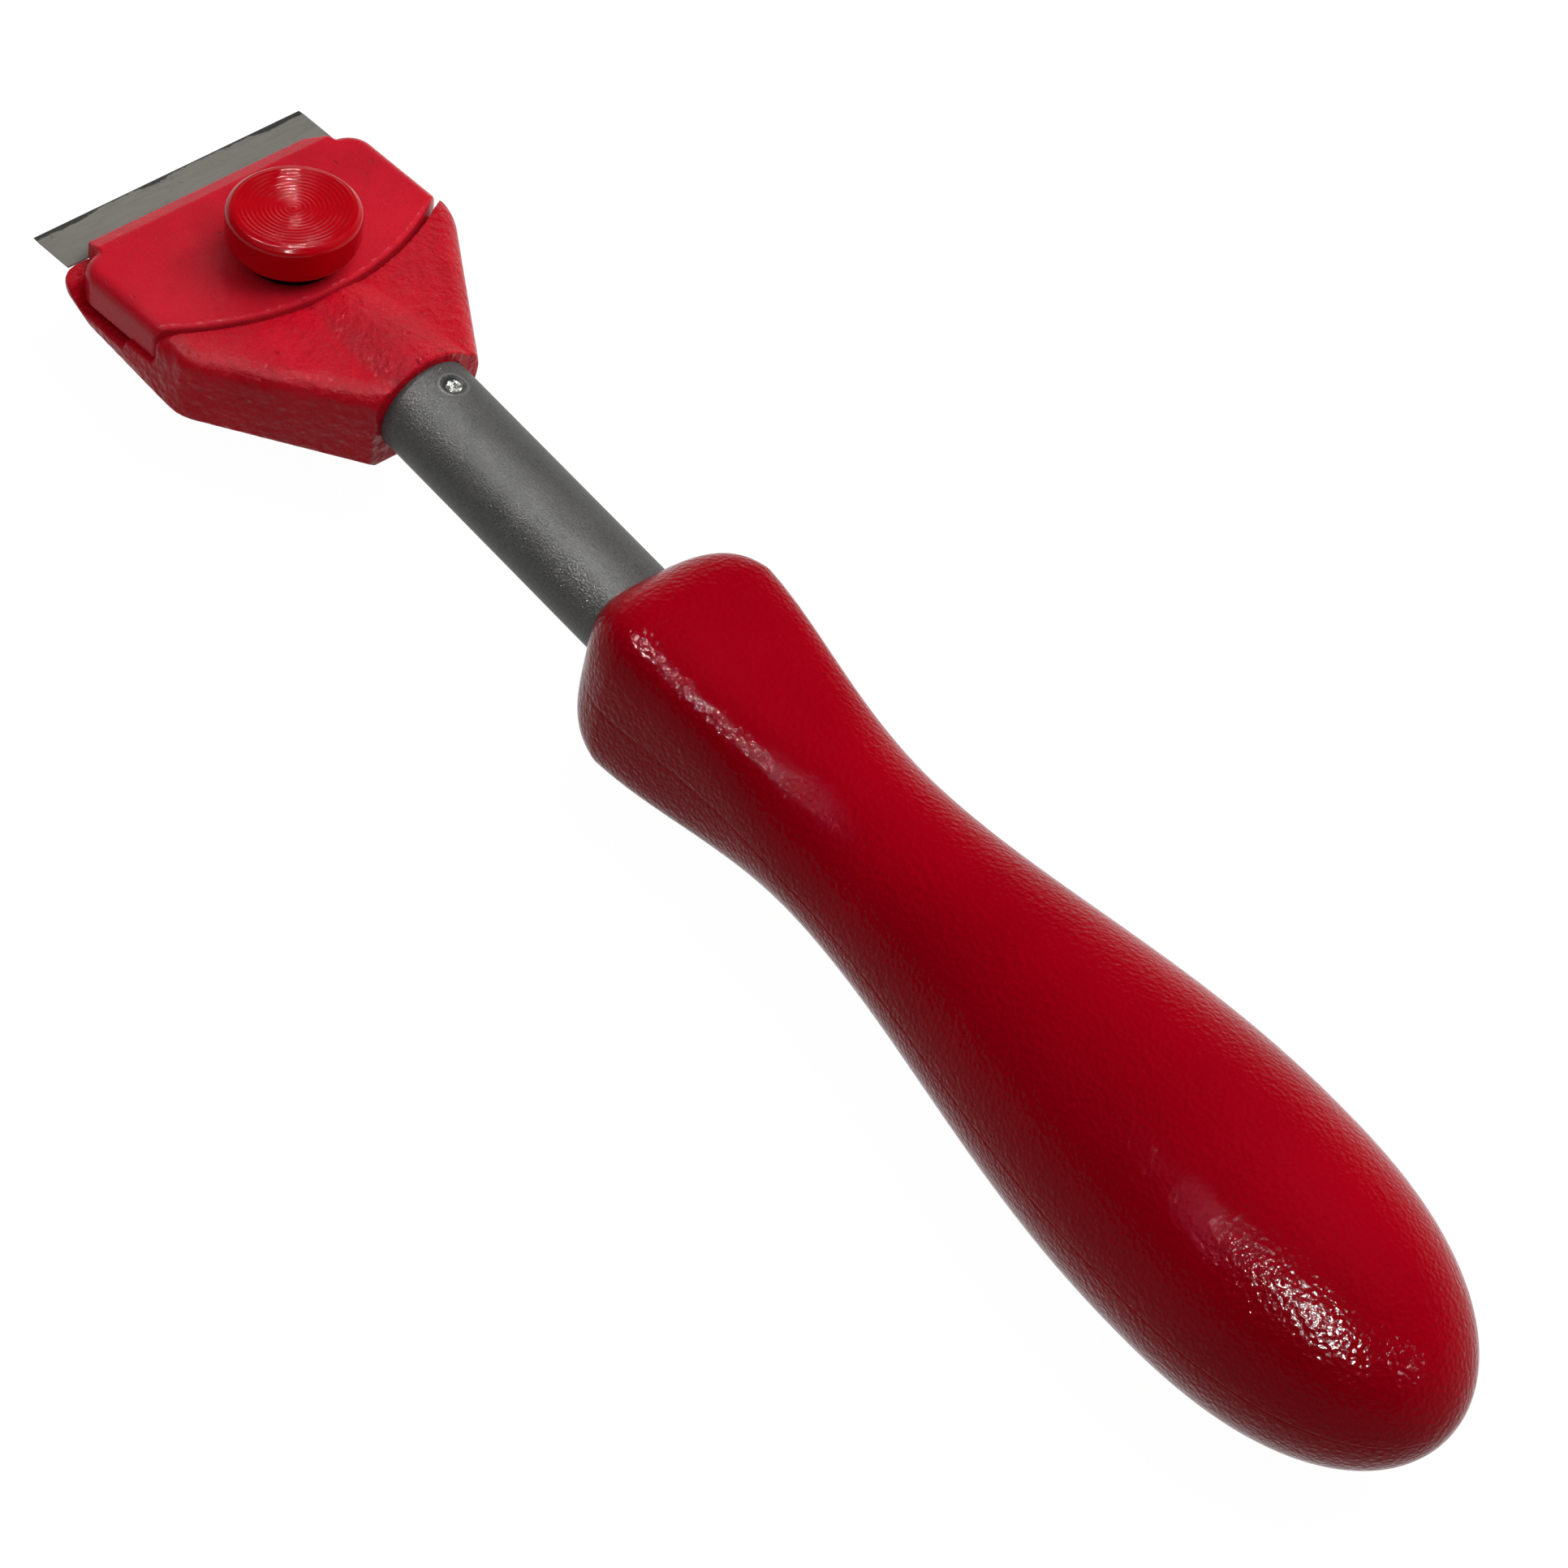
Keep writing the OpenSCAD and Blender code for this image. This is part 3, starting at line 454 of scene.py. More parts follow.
def ground_steel(name, grey):
    """Rolled blade steel with a ground edge, dulled by handling.

    The honed strip along the edge is darker, with rust specks that spread a little way
    back; fine grinding lines run along the blade."""
    material, tree, place = new_material(name)
    local = head_place(tree, place)
    depth, across = add(tree, "ShaderNodeSeparateXYZ", {0: local}, None)[:2]
    ragged = add(
        tree, NOISE, {"Vector": place, "Scale": 1 / 1.8, "Detail": 4.0, "Roughness": 0.68})
    patchy = add(tree, NOISE, {"Vector": place, "Scale": 1 / 7.0, "Detail": 2.0})
    rust = add(
        tree, NOISE, {"Vector": place, "Scale": 1 / 0.6, "Detail": 3.0, "Roughness": 0.7})
    stretched = add(tree, VECTOR, {0: local, 1: (6.0, 0.12, 6.0)}, operation="MULTIPLY")
    grinding = add(tree, NOISE, {"Vector": stretched, "Scale": 1.0, "Detail": 3.0})
    stretched = add(tree, VECTOR, {0: local, 1: (1.6, 0.3, 1.6)}, operation="MULTIPLY")
    smear = add(tree, NOISE, {"Vector": stretched, "Scale": 1.0, "Detail": 3.0})
    # The honed strip is about 0.3 mm wide, and its boundary wanders by as much
    strip = add(tree, MATH, {0: ragged, 1: -1.1, 2: depth}, operation="MULTIPLY_ADD")
    strip = add(tree, MATH, {0: patchy, 1: -1.6, 2: strip}, operation="MULTIPLY_ADD")
    # Towards both ends it is stained half a millimetre wider
    ends = add(tree, RANGE, {
        "Value": add(tree, MATH, {0: across}, operation="ABSOLUTE"), "From Min": 7.0,
        "From Max": 13.0, "To Max": 0.5})
    strip = add(tree, MATH, {0: strip, 1: ends}, operation="SUBTRACT")
    honed = add(tree, RANGE, {"Value": strip, "From Min": -1.15, "From Max": -0.95,
                              "To Min": 0.9, "To Max": 0.0})
    specks = add(tree, MATH, {
        0: add(tree, RANGE, {"Value": rust, "From Min": 0.63, "From Max": 0.69}),
        1: add(tree, RANGE, {"Value": depth, "From Min": 0.8, "From Max": 5.0,
                             "To Min": 0.9, "To Max": 0.1})}, operation="MULTIPLY")
    specks = add(tree, MATH, {
        0: specks,
        1: add(tree, RANGE, {"Value": patchy, "From Min": 0.4, "From Max": 0.6,
                             "To Min": 0.3})}, operation="MULTIPLY")
    body = add(tree, MIX, {
        SHARE: add(tree, RANGE, {"Value": grinding, "From Min": 0.3, "From Max": 0.7}),
        FIRST: darker(grey, 0.88), SECOND: tuple(grey)}, MIXED, data_type="RGBA")
    body = add(tree, MIX, {
        SHARE: add(tree, RANGE, {"Value": smear, "From Min": 0.45, "From Max": 0.75,
                                 "To Max": 0.5}),
        FIRST: body, SECOND: darker(grey, 0.7)}, MIXED, data_type="RGBA")
    body = add(tree, MIX, {SHARE: honed, FIRST: body, SECOND: linear("#2C2A27")},
               MIXED, data_type="RGBA")
    body = add(tree, MIX, {SHARE: specks, FIRST: body, SECOND: linear("#241C17")},
               MIXED, data_type="RGBA")
    gloss = add(tree, RANGE, {"Value": grinding, "From Min": 0.3, "From Max": 0.7,
                              "To Min": 0.38, "To Max": 0.5})
    normal = add(tree, BUMP, {"Height": grinding, "Distance": 0.003 * MM})
    surface = add(tree, PRINCIPLED, {
        "Base Color": body, "Roughness": gloss, "Normal": normal, "Metallic": 0.2,
        "Specular IOR Level": 0.3})
    add(tree, OUTPUT, {"Surface": surface})
    return material


def plated_steel(name, code, rough, dent=0.004):
    """Plated or bright steel of the small fittings, or near-black steel as painted shade.

    Handling marks in it, or a hammer's dents of the given height in millimetres, break its
    reflections softly."""
    material, tree, place = new_material(name)
    marks = add(
        tree, NOISE, {"Vector": place, "Scale": 1 / 0.8, "Detail": 4.0, "Roughness": 0.6})
    base = linear(code)
    body = add(tree, MIX, {
        SHARE: add(tree, RANGE, {"Value": marks, "From Min": 0.35, "From Max": 0.7}),
        FIRST: darker(base, 0.75), SECOND: base}, MIXED, data_type="RGBA")
    gloss = add(tree, RANGE, {"Value": marks, "From Min": 0.3, "From Max": 0.7,
                              "To Min": rough, "To Max": rough + 0.12})
    normal = add(tree, BUMP, {"Height": marks, "Distance": dent * MM})
    surface = add(tree, PRINCIPLED, {
        "Base Color": body, "Roughness": gloss, "Normal": normal, "Metallic": 0.9})
    add(tree, OUTPUT, {"Surface": surface})
    return material


# ---------------------------------------------------------------- meshes


def finished(mesh, name, material, body, nodes, sharp=32.0):
    """Makes a mesh a shown piece: shaded, painted, riding on its body, standing for nodes."""
    mesh.name = name
    mesh.materials.clear()
    mesh.materials.append(material)
    for polygon in mesh.polygons:
        polygon.use_smooth = True
        polygon.material_index = 0
    mesh.set_sharp_from_angle(angle=math.radians(sharp))
    piece = bpy.data.objects.new(name, mesh)
    bpy.context.scene.collection.objects.link(piece)
    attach(piece, body)
    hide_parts(*nodes)
    return piece


def merged_copy(node):
    """A copy of a CAD node's mesh with its doubles merged and no normals of its own."""
    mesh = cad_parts[node].data.copy()
    work = bmesh.new()
    work.from_mesh(mesh)
    bmesh.ops.remove_doubles(work, verts=work.verts, dist=2e-6)
    work.to_mesh(mesh)
    work.free()
    for name in ("custom_normal", "sharp_edge", "sharp_face"):
        if name in mesh.attributes:
            mesh.attributes.remove(mesh.attributes[name])
    return mesh


def evaluated(mesh, make_modifiers):
    """The mesh after modifiers that the given function adds to a passing object."""
    holder = bpy.data.objects.new("holder", mesh)
    bpy.context.scene.collection.objects.link(holder)
    make_modifiers(holder)
    bpy.context.view_layer.update()
    graph = bpy.context.evaluated_depsgraph_get()
    result = bpy.data.meshes.new_from_object(holder.evaluated_get(graph))
    bpy.data.objects.remove(holder)
    return result


def new_node_tree(name, floats, whole=()):
    """A Geometry Nodes tree with named inputs, and the outputs of its input node by name."""
    tree = bpy.data.node_groups.new(name, "GeometryNodeTree")
    sockets = [("Geometry", "INPUT", "NodeSocketGeometry")]
    sockets += [(each, "INPUT", "NodeSocketFloat") for each in floats]
    sockets += [(each, "INPUT", "NodeSocketInt") for each in whole]
    sockets += [("Geometry", "OUTPUT", "NodeSocketGeometry")]
    for label, way, kind in sockets:
        tree.interface.new_socket(label, in_out=way, socket_type=kind)
    return tree, {socket.name: socket for socket in add(tree, "NodeGroupInput", out=None)}


def use_tree(holder, tree, values):
    """Adds a modifier that runs the tree, its inputs set by their sockets' identifiers."""
    modifier = holder.modifiers.new(tree.name, "NODES")
    modifier.node_group = tree
    sockets = {
        item.name: item.identifier for item in tree.interface.items_tree
        if item.item_type == "SOCKET" and item.in_out == "INPUT"}
    for name, value in values.items():
        modifier[sockets[name]] = value


def cast_skin_tree(material):
    """Geometry Nodes that press fine lumps into a surface, inwards only."""
    tree, given = new_node_tree("cast_skin", ("Depth", "Lump", "Seed"))
    lumps = add(tree, NOISE, {
        "Vector": add(tree, "GeometryNodeInputPosition"), "W": given["Seed"],
        "Scale": add(tree, MATH, {0: 1.0, 1: given["Lump"]}, operation="DIVIDE"),
        "Detail": 2.0, "Roughness": 0.55}, noise_dimensions="4D")
    inwards = add(tree, MATH, {
        0: add(tree, MATH, {0: lumps, 1: given["Depth"]}, operation="MULTIPLY"), 1: -1.0},
        operation="MULTIPLY")
    push = add(tree, VECTOR, {0: add(tree, "GeometryNodeInputNormal"), "Scale": inwards},
               operation="SCALE")
    moved = add(
        tree, "GeometryNodeSetPosition", {"Geometry": given["Geometry"], "Offset": push})
    real = add(tree, "GeometryNodeRealizeInstances", {"Geometry": moved})
    painted = add(tree, "GeometryNodeSetMaterial", {"Geometry": real, "Material": material})
    add(tree, "NodeGroupOutput", {"Geometry": painted})
    return tree


def cast_skin(mesh, voxel, smooth, depth, lump, seed, material):
    """A casting's skin: the mesh rebuilt evenly, its edges softened, lumps pressed in.

    It is rebuilt in the head's frame, so that its faces lie along the grid."""
    to_row = head_to_row()
    mesh.transform(to_row.inverted())
    tree = cast_skin_tree(material)

    def modifiers(holder):
        grid = holder.modifiers.new("grid", "REMESH")
        grid.mode = "VOXEL"
        grid.voxel_size = voxel
        soft = holder.modifiers.new("soft", "SMOOTH")
        soft.factor = 0.5
        soft.iterations = smooth
        use_tree(holder, tree, {"Depth": depth, "Lump": lump, "Seed": seed})

    result = evaluated(mesh, modifiers)
    result.transform(to_row)
    return result


def handle_tree(material):
    """Geometry Nodes for the upper half of the handle, from its outline's own rule.

    A cylinder of rings is moved point by point. A ring's first half follows the section's
    power curve, and its second half closes it flat at the joint."""
    tree, known = new_node_tree("handle_half", (
        "Mouth X", "Mouth Radius", "Front End", "Front Radius", "Guard X", "Guard Radius",
        "Waist X", "Waist Radius", "Bulb X", "Bulb Radius", "End X", "Square End",
        "Guard Power", "Seam Depth", "Seam Width"), ("Ring Points", "Stations"))
    ring = add(tree, "GeometryNodeMeshCylinder", {
        "Vertices": known["Ring Points"], "Side Segments": known["Stations"],
        "Radius": 1.0, "Depth": 1.0})
    parts = add(
        tree, "ShaderNodeSeparateXYZ", {0: add(tree, "GeometryNodeInputPosition")}, None)
    known.update({"unit x": parts[0], "unit y": parts[1], "unit z": parts[2]})
    view = math.radians(OUTLINE_VIEW)
    # Each step names its result, the sum to do, and what goes into it. A share is how far a
    # place lies from one end of a stretch to the other.
    steps = [
        # Stations crowd towards both ends
        ("along", "ADD", "unit z", 0.5),
        ("along turned", "MULTIPLY", "along", math.pi),
        ("along cosine", "COSINE", "along turned"),
        ("eased", "MULTIPLY_ADD", "along cosine", -0.5, 0.5),
        ("span", "SUBTRACT", "End X", "Mouth X"),
        ("x", "MULTIPLY_ADD", "eased", "span", "Mouth X"),
        ("turn", "ARCTAN2", "unit y", "unit x"),
        ("front share", "SHARE", "x", "Mouth X", "Front End"),
        ("waist share", "SHARE", "x", "Guard X", "Waist X"),
        ("bulb share", "SHARE", "x", "Waist X", "Bulb X"),
        ("butt share", "SHARE", "x", "Bulb X", "End X"),
        ("square share", "SHARE", "x", "Square End", "Waist X")]
    # Waist, bulb and section follow cosine swells that start early
    for name in ("waist", "bulb", "square"):
        steps += [
            (name + " early", "POWER", name + " share", SWELL_POWER),
            (name + " turned", "MULTIPLY", name + " early", math.pi),
            (name + " cosine", "COSINE", name + " turned"),
            (name + " fall", "MULTIPLY_ADD", name + " cosine", 0.5, 0.5)]
    steps += [
        # The guard's front rises steeply
        ("front left", "SUBTRACT", 1.0, "front share"),
        ("front low", "POWER", "front left", FRONT_POWER),
        ("front up", "SUBTRACT", 1.0, "front low"),
        ("front swell", "SUBTRACT", "Front Radius", "Mouth Radius"),
        ("front radius", "MULTIPLY_ADD", "front up", "front swell", "Mouth Radius"),
        ("guard swell", "SUBTRACT", "Guard Radius", "Waist Radius"),
        ("guard radius", "MULTIPLY_ADD", "waist fall", "guard swell", "Waist Radius"),
        ("front outline", "MINIMUM", "front radius", "guard radius"),
        ("bulb rise", "SUBTRACT", 1.0, "bulb fall"),
        ("bulb swell", "SUBTRACT", "Bulb Radius", "Waist Radius"),
        ("to bulb", "MULTIPLY_ADD", "bulb rise", "bulb swell", "front outline"),
        # The butt is a full rounded end
        ("butt low", "POWER", "butt share", BUTT_POWER),
        ("butt left", "SUBTRACT", 1.0, "butt low"),
        ("butt kept", "MAXIMUM", "butt left", 0.0),
        ("butt radius", "SQRT", "butt kept"),
        ("butt cut", "SUBTRACT", "butt radius", 1.0),
        ("outline", "MULTIPLY_ADD", "butt cut", "Bulb Radius", "to bulb"),
        # The section's power falls from the guard's to two; the outline is what the
        # photograph's side shows, so the section is set inside it along that view
        ("extra power", "SUBTRACT", "Guard Power", 2.0),
        ("power", "MULTIPLY_ADD", "square fall", "extra power", 2.0),
        ("less one", "SUBTRACT", "power", 1.0),
        ("dual", "DIVIDE", "power", "less one"),
        ("view wide", "POWER", math.cos(view), "dual"),
        ("view high", "POWER", math.sin(view), "dual"),
        ("view sum", "ADD", "view wide", "view high"),
        ("dual root", "DIVIDE", 1.0, "dual"),
        ("support", "POWER", "view sum", "dual root"),
        ("half", "DIVIDE", "outline", "support"),
        # Points crowd towards the joint, where the seam is
        ("double turn", "MULTIPLY", "turn", 2.0),
        ("turn wave", "SINE", "double turn"),
        ("crowded", "MULTIPLY_ADD", "turn wave", -SEAM_CROWDING, "turn"),
        ("exponent", "DIVIDE", 2.0, "power"),
        ("across", "COSINE", "crowded"),
        ("side", "SIGN", "across"),
        ("across size", "ABSOLUTE", "across"),
        ("across curve", "POWER", "across size", "exponent"),
        ("wide", "MULTIPLY", "side", "across curve"),
        ("up", "SINE", "crowded"),
        ("up kept", "MAXIMUM", "up", 0.0),
        ("up curve", "POWER", "up kept", "exponent"),
        ("upper half", "GREATER_THAN", "turn", 1e-5),
        ("up shown", "MULTIPLY", "up curve", "upper half"),
        ("height", "MULTIPLY", "up shown", "half"),
        # The seam is a fine bevel along the joint
        ("seam share", "DIVIDE", "height", "Seam Width"),
        ("seam left", "SUBTRACT", 1.0, "seam share"),
        ("seam kept", "MAXIMUM", "seam left", 0.0),
        ("seam", "MULTIPLY", "seam kept", "Seam Depth"),
        ("half less seam", "SUBTRACT", "half", "seam"),
        ("half kept", "MAXIMUM", "half less seam", 0.0),
        ("breadth", "MULTIPLY", "wide", "half kept")]
    for name, operation, *terms in steps:
        sockets = {i: known.get(term, term) for i, term in enumerate(terms)}
        if operation == "SHARE":
            known[name] = add(tree, RANGE, sockets)
        else:
            known[name] = add(tree, MATH, sockets, operation=operation)
    where = add(tree, "ShaderNodeCombineXYZ", {
        0: known["x"], 1: known["breadth"], 2: known["height"]})
    shaped = add(tree, "GeometryNodeSetPosition", {"Geometry": ring, "Position": where})
    real = add(tree, "GeometryNodeRealizeInstances", {"Geometry": shaped})
    painted = add(tree, "GeometryNodeSetMaterial", {"Geometry": real, "Material": material})
    add(tree, "NodeGroupOutput", {"Geometry": painted})
    return tree


def handle_half(shape, material):
    """The upper half of the handle as a plain closed mesh in the row frame."""
    tree = handle_tree(material)
    values = {
        "Mouth X": shape.mouth_x, "Mouth Radius": shape.mouth_radius,
        "Front End": shape.front_end, "Front Radius": shape.front_radius,
        "Guard X": shape.guard_x, "Guard Radius": shape.guard_radius,
        "Waist X": shape.waist_x, "Waist Radius": shape.waist_radius,
        "Bulb X": shape.bulb_x, "Bulb Radius": shape.bulb_radius,
        "End X": shape.end_x, "Square End": shape.square_end,
        "Guard Power": shape.guard_power, "Seam Depth": shape.seam_depth,
        "Seam Width": shape.seam_width, "Ring Points": 200, "Stations": 260}
    mesh = evaluated(
        bpy.data.meshes.new("handle_half"), lambda holder: use_tree(holder, tree, values))
    work = bmesh.new()
    work.from_mesh(mesh)
    bmesh.ops.remove_doubles(work, verts=work.verts, dist=2e-6)
    bmesh.ops.dissolve_degenerate(work, edges=work.edges, dist=1e-7)
    bmesh.ops.recalc_face_normals(work, faces=work.faces)
    work.to_mesh(mesh)
    work.free()
    mesh.transform(tool_to_row())
    return mesh


def mirrored_down(mesh):
    """A copy of a mesh mirrored in the handle's joint, facing outwards."""
    other = mesh.copy()
    other.transform(Matrix.Translation((0, 0, AXIS_HEIGHT)) @ Matrix.Scale(-1, 4, (0, 0, 1))
                    @ Matrix.Translation((0, 0, -AXIS_HEIGHT)))
    other.flip_normals()
    return other


def lathe(profile, steps):
    """A closed turned piece on the screw's axis from (radius, height) points in mm."""
    work = bmesh.new()
    rows = []
    for radius, height in profile:
        if radius == 0:
            rows.append([work.verts.new((SCREW_S, 0, height * MM))])
            continue
        rows.append([
            work.verts.new((
                SCREW_S + radius * MM * math.cos(2 * math.pi * k / steps),
                radius * MM * math.sin(2 * math.pi * k / steps), height * MM))
            for k in range(steps)])
    for low, high in zip(rows, rows[1:]):
        for k in range(steps):
            n = (k + 1) % steps
            if len(low) == 1:
                work.faces.new((low[0], high[n], high[k]))
            elif len(high) == 1:
                work.faces.new((low[k], low[n], high[0]))
            else:
                work.faces.new((low[k], low[n], high[n], high[k]))
    bmesh.ops.remove_doubles(work, verts=work.verts, dist=1e-7)
    bmesh.ops.recalc_face_normals(work, faces=work.faces)
    mesh = bpy.data.meshes.new("turned")
    work.to_mesh(mesh)
    work.free()
    mesh.transform(head_to_row())
    return mesh


def arc(centre, radius, start, end, steps):
    """Points of an arc, angles in degrees, in a turned piece's profile."""
    return [
        (centre[0] + radius * math.cos(math.radians(start + (end - start) * i / steps)),
         centre[1] + radius * math.sin(math.radians(start + (end - start) * i / steps)))
        for i in range(steps + 1)]


# ---------------------------------------------------------------- operators


class SCRAPER_OT_blade(bpy.types.Operator):
    """Make the blade and the strip folded over its back"""
    bl_idname = "scraper.blade"
    bl_label = "Blade"

    def execute(self, context):
        finish = context.scene.scraper_finish
        steel = ground_steel("ground_blade_steel", finish.blade_grey)
        finished(
            merged_copy("blade"), "blade_sheet", steel, "blade", ["blade"], 1)
        strip = plated_steel("rolled_strip_steel", "#A3A29D", 0.35)
        finished(
            merged_copy("blade_spine"), "blade_back_strip", strip, "blade",
            ["blade_spine"])
        return {"FINISHED"}


class SCRAPER_OT_head(bpy.types.Operator):
    """Make the cast head and its clamp plate"""
    bl_idname = "scraper.head"
    bl_label = "Head and clamp plate"

    def execute(self, context):
        shape, finish = context.scene.scraper_shape, context.scene.scraper_finish
        paint = cast_paint("sprayed_casting_enamel", finish.casting_red, 0.26, 0.55)
        smooth_paint = cast_paint("sprayed_plate_enamel", finish.plate_red_with_painted_light, 0.03, 0.3, 0.45)
        head = cast_skin(
            merged_copy("head_base"), 0.26 * MM, 2, shape.casting_grain, 1.5 * MM, 3.0, paint)
        finished(head, "head_casting", paint, "frame", ["head_base"], 60)
        plate = cast_skin(
            merged_copy("clamp_plate"), 0.22 * MM, 2, shape.casting_grain * 0.5, 1.5 * MM, 7.0,
            smooth_paint)
        finished(plate, "clamp_plate_casting", smooth_paint, "plate",
                 ["clamp_plate"], 60)
        return {"FINISHED"}


class SCRAPER_OT_knob(bpy.types.Operator):
    """Make the clamp knob with its screw, washer and ring"""
    bl_idname = "scraper.knob"
    bl_label = "Knob and screw"

    def execute(self, context):
        finish = context.scene.scraper_finish
        lacquer = turned_lacquer("lacquer_on_turned_knob", finish.knob_red)
        # Round the bore and the washer's seat, out along a rounded underside and over the
        # rim, and in across the dish to the nib that the lathe leaves in the middle
        bore = [(0, 8.6), (2.5, 8.6), (2.5, 4.0), (5.2, 4.0)]
        underside = [
            (3.6 + 4.2 * math.sin(math.radians(a)), 7.0 - 3.0 * math.cos(math.radians(a)))
            for a in range(28, 83, 6)]
        rim = arc((6.7, 9.3), 1.15, -7, 90, 18)
        dish = [(6.7 * i / 12, 10.2 + 0.25 * (i / 12) ** 2) for i in range(11, 0, -1)]
        nib = [(0.45, 10.2), (0.12, 10.3), (0, 10.3)]
        finished(lathe(bore + underside + rim + dish + nib, 160), "clamp_knob_turned", lacquer,
                 "knob", ["clamp_knob"], 40)
        steel = plated_steel("zinc_plated_steel", "#9C9C9A", 0.3)
        # Painted shade: the washer is coloured near black so that it reads as the shadow gap
        # under the knob
        painted_shade_steel = plated_steel("washer_steel_painted_shade", "#1C1B1A", 0.45)
        finished(merged_copy("clamp_screw"), "clamp_screw_shank", steel, "knob",
                 ["clamp_screw"])
        disc = [
            (2.5, 3.2), (5.2, 3.2), (5.4, 3.4), (5.4, 3.8), (5.2, 4.0), (2.5, 4.0), (2.5, 3.2)]
        finished(lathe(disc, 96), "knob_washer_disc", painted_shade_steel, "knob",
                 ["knob_washer"])
        finished(merged_copy("screw_ring"), "screw_ring_clip", steel, "knob",
                 ["screw_ring"])
        return {"FINISHED"}


class SCRAPER_OT_tube(bpy.types.Operator):
    """Make the steel tube and the pin that holds it on the head"""
    bl_idname = "scraper.tube"
    bl_label = "Tube and pin"

    def execute(self, context):
        finish = context.scene.scraper_finish
        enamel = flake_enamel("flake_stove_enamel", finish.tube_grey)
        finished(merged_copy("shaft_tube"), "shaft_tube_steel", enamel, "frame",
                 ["shaft_tube"], 25)
        bright = plated_steel("peened_pin_steel", "#C9C8C2", 0.2, 0.3)
        finished(merged_copy("tube_pin"), "tube_pin_end", bright, "frame",
                 ["tube_pin"])
        return {"FINISHED"}


class SCRAPER_OT_handle(bpy.types.Operator):
    """Make the two shells of the handle"""
    bl_idname = "scraper.handle"
    bl_label = "Handle"

    def execute(self, context):
        shape, finish = context.scene.scraper_shape, context.scene.scraper_finish
        plastic = grip_plastic("moulded_gloss_plastic", finish.handle_red)
        upper = handle_half(shape, plastic)
        lower = mirrored_down(upper)
        finished(upper, "handle_upper_shell", plastic, "frame",
                 ["handle_upper"], 50)
        finished(lower, "handle_lower_shell", plastic, "frame",
                 ["handle_lower"], 50)
        return {"FINISHED"}


class SCRAPER_OT_stage(bpy.types.Operator):
    """Make the floor, the lights and the camera"""
    bl_idname = "scraper.stage"
    bl_label = "Stage"

    def execute(self, context):
        make_floor()
        make_lights()
        make_camera()
        context.scene.view_settings.view_transform = "Standard"
        return {"FINISHED"}


def make_floor():
    """A plain pale floor that shows as white, with the tool's shadow on it kept faint."""
    mesh = bpy.data.meshes.new("floor")
    reach = 3.0
    mesh.from_pydata(
        [(-reach, -reach, 0), (reach, -reach, 0), (reach, reach, 0), (-reach, reach, 0)],
        [], [(0, 1, 2, 3)])
    material = bpy.data.materials.new("pale_floor")
    material.use_nodes = True
    tree = material.node_tree
    tree.nodes.clear()
    rays = add(tree, "ShaderNodeLightPath", out=None)
    through = add(tree, MATH, {0: rays["Is Glossy Ray"], 1: rays["Is Transmission Ray"]},
                  operation="MAXIMUM")
    seen = add(tree, MATH, {0: rays["Is Camera Ray"], 1: through}, operation="MAXIMUM")
    matt = add(tree, "ShaderNodeBsdfDiffuse", {"Color": (0.45, 0.45, 0.45, 1)})
    pale = add(tree, "ShaderNodeBsdfDiffuse", {"Color": (0.06, 0.06, 0.06, 1)})
    white = add(tree, "ShaderNodeEmission", {"Color": (1, 1, 1, 1), "Strength": 0.98})
    both = add(tree, "ShaderNodeAddShader", {0: pale, 1: white})
    mixed = add(tree, "ShaderNodeMixShader", {0: seen, 1: matt, 2: both})
    add(tree, OUTPUT, {"Surface": mixed})
    mesh.materials.append(material)
    floor = bpy.data.objects.new("floor", mesh)
    bpy.context.scene.collection.objects.link(floor)


def make_lights():
    """A white wall low down behind the tool, a dark room in front, and the lamps.

    The main lamp stands high up behind, and a weaker one fills in from the front. The
    others are narrow and draw the highlights on the handle, the tube, the head and the
    knob."""
    world = bpy.data.worlds.new("studio")
    world.use_nodes = True
    tree = world.node_tree
    tree.nodes.clear()
    way = add(tree, "ShaderNodeSeparateXYZ",
              {0: add(tree, "ShaderNodeTexCoord", out="Generated")}, None)
    low = add(tree, RANGE, {"Value": way[2], "From Min": 0.1, "From Max": 0.5,
                            "To Min": 0.75, "To Max": 0.04})
    behind = add(tree, RANGE, {"Value": way[1], "From Min": -0.35, "From Max": 0.3,
                               "To Min": 0.05, "To Max": 1.0})
    light = add(tree, "ShaderNodeBackground", {
        "Color": (1, 1, 1, 1),
        "Strength": add(tree, MATH, {0: low, 1: behind}, operation="MULTIPLY")})
    add(tree, "ShaderNodeOutputWorld", {"Surface": light})
    bpy.context.scene.world = world
    for name, place, aim, wide, deep, power, spread in LAMPS:
        light = bpy.data.lights.new(name, "AREA")
        light.shape = "RECTANGLE"
        light.size, light.size_y = wide, deep
        light.energy = power
        light.spread = math.radians(spread)
        lamp = bpy.data.objects.new(name, light)
        lamp.location = place
        lamp.rotation_mode = "QUATERNION"
        lamp.rotation_quaternion = (Vector(aim) - Vector(place)).to_track_quat("-Z", "Y")
        lamp.visible_camera = False
        lamp.visible_diffuse = name in LIGHTING
        lamp.visible_glossy = name not in LIGHTING
        bpy.context.scene.collection.objects.link(lamp)


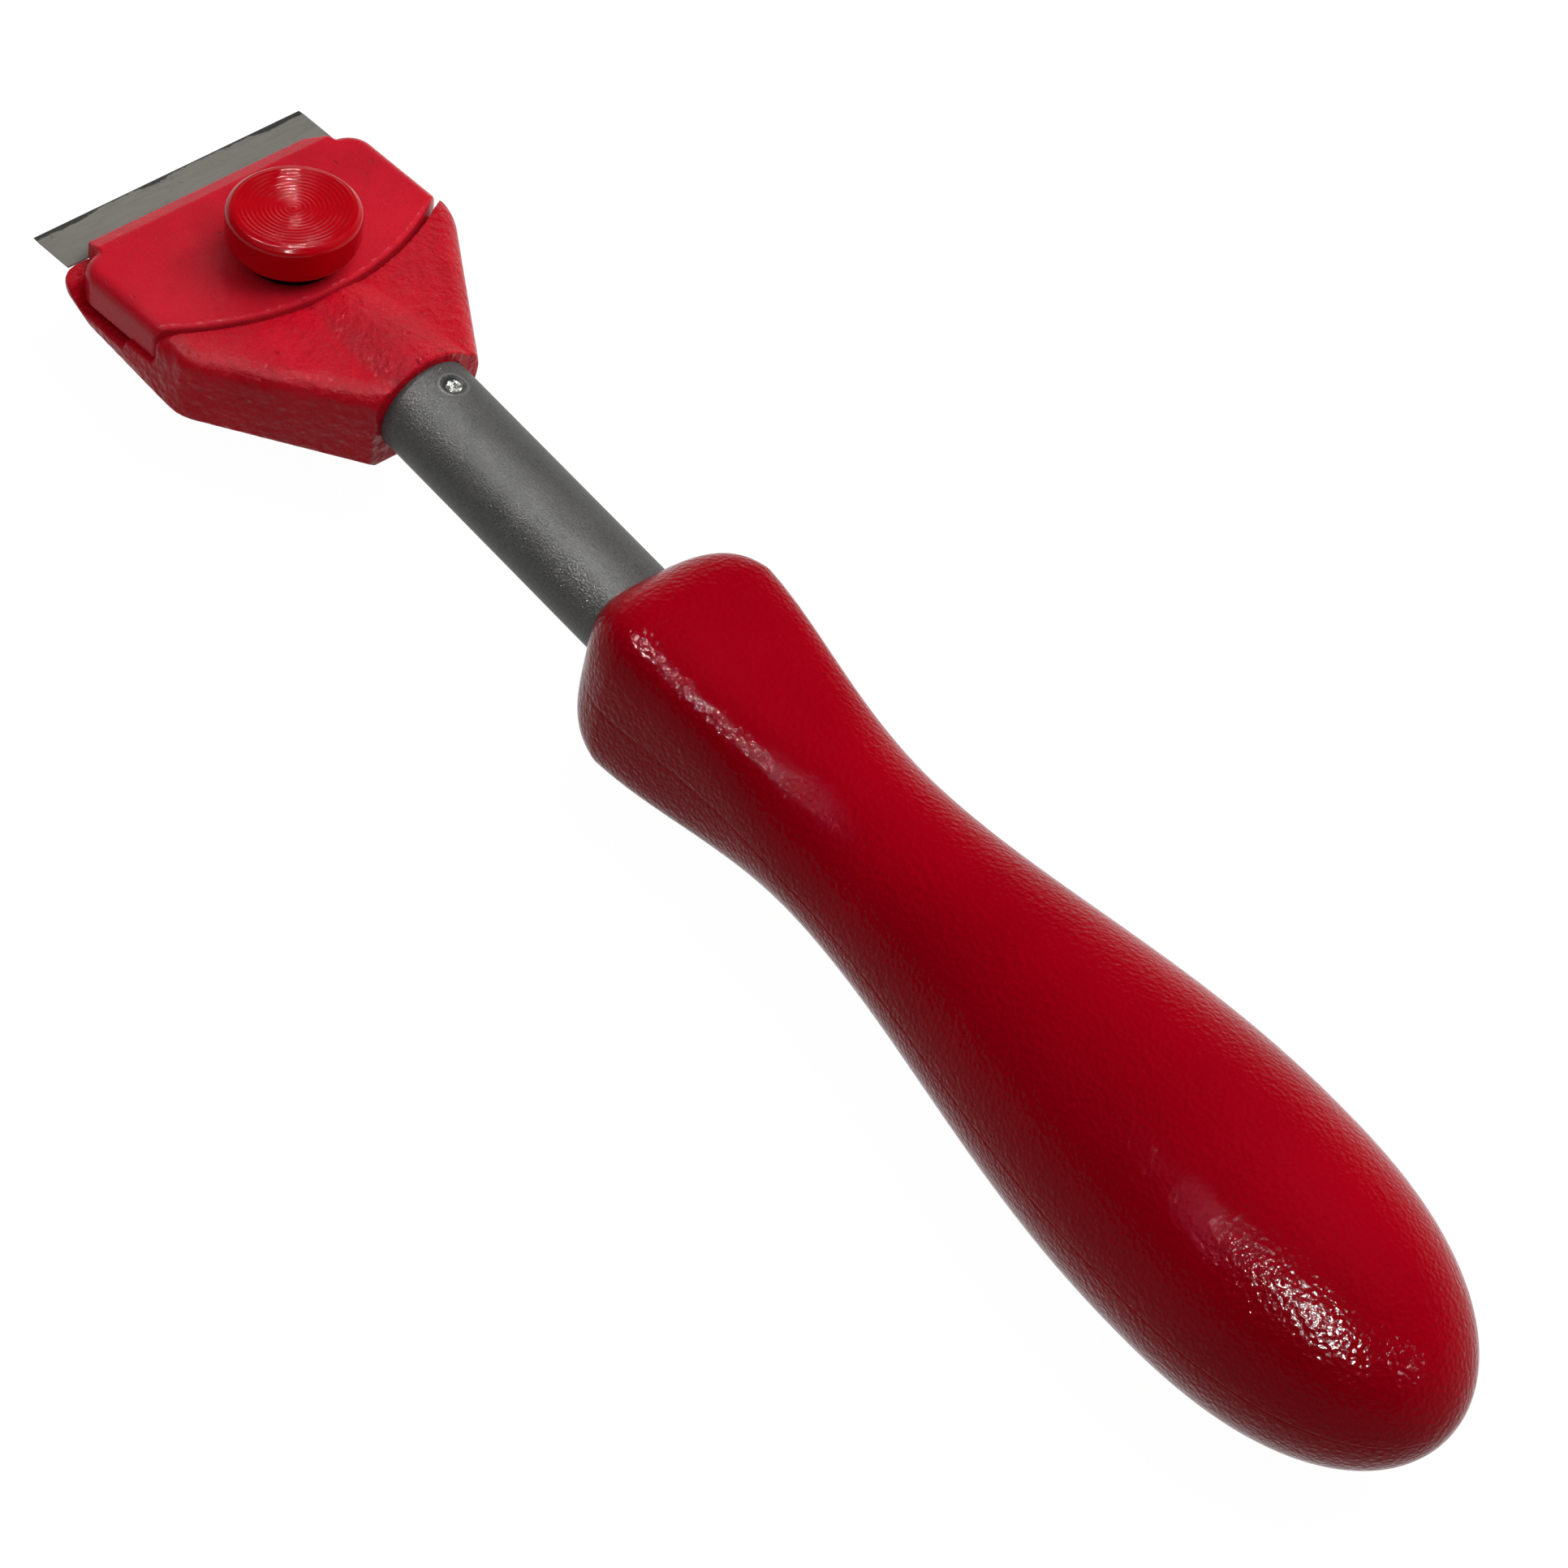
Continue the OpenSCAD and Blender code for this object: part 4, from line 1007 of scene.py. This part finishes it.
def make_camera():
    """The photograph's camera, worked out from the object's own edges, in the row frame."""
    turn, rise, roll = (math.radians(angle) for angle in CAMERA_ANGLES)
    back = Vector((math.sin(turn) * math.cos(rise), -math.cos(turn) * math.cos(rise),
                   math.sin(rise)))
    level = Vector((math.cos(turn), math.sin(turn), 0))
    upright = back.cross(level)
    right = math.cos(roll) * level + math.sin(roll) * upright
    up = math.cos(roll) * upright - math.sin(roll) * level
    place = tool_to_row() @ Vector(CAMERA_PLACE)
    lens = bpy.data.cameras.new("camera")
    lens.sensor_width = SENSOR_WIDTH
    lens.lens = SENSOR_WIDTH * FOCAL_PIXELS / PICTURE_PIXELS
    lens.clip_start, lens.clip_end = 0.05, 20.0
    camera = bpy.data.objects.new("camera", lens)
    turned = Matrix((right, up, back)).transposed().to_4x4()
    camera.matrix_world = Matrix.Translation(place) @ turned
    bpy.context.scene.collection.objects.link(camera)
    bpy.context.scene.camera = camera


class SCRAPER_PT_panel(bpy.types.Panel):
    """The sidebar's list of pieces and their settings"""
    bl_idname = "SCRAPER_PT_panel"
    bl_label = "Scraper"
    bl_space_type = "VIEW_3D"
    bl_region_type = "UI"
    bl_category = "Scraper"

    def draw(self, context):
        column = self.layout.column()
        for operator in OPERATORS:
            column.operator(operator.bl_idname)
        for group in (context.scene.scraper_shape, context.scene.scraper_finish):
            for name in group.__annotations__:
                column.prop(group, name)


OPERATORS = (
    SCRAPER_OT_stage, SCRAPER_OT_blade, SCRAPER_OT_head, SCRAPER_OT_knob, SCRAPER_OT_tube,
    SCRAPER_OT_handle)
CLASSES = (ScraperShape, ScraperFinish, *OPERATORS, SCRAPER_PT_panel)


def register():
    for cls in CLASSES:
        bpy.utils.register_class(cls)
    bpy.types.Scene.scraper_shape = bpy.props.PointerProperty(type=ScraperShape)
    bpy.types.Scene.scraper_finish = bpy.props.PointerProperty(type=ScraperFinish)


def unregister():
    del bpy.types.Scene.scraper_finish
    del bpy.types.Scene.scraper_shape
    for cls in reversed(CLASSES):
        bpy.utils.unregister_class(cls)


def main():
    register()
    bpy.ops.scraper.stage()
    bpy.ops.scraper.blade()
    bpy.ops.scraper.head()
    bpy.ops.scraper.knob()
    bpy.ops.scraper.tube()
    bpy.ops.scraper.handle()


if __name__ == "__main__":
    main()
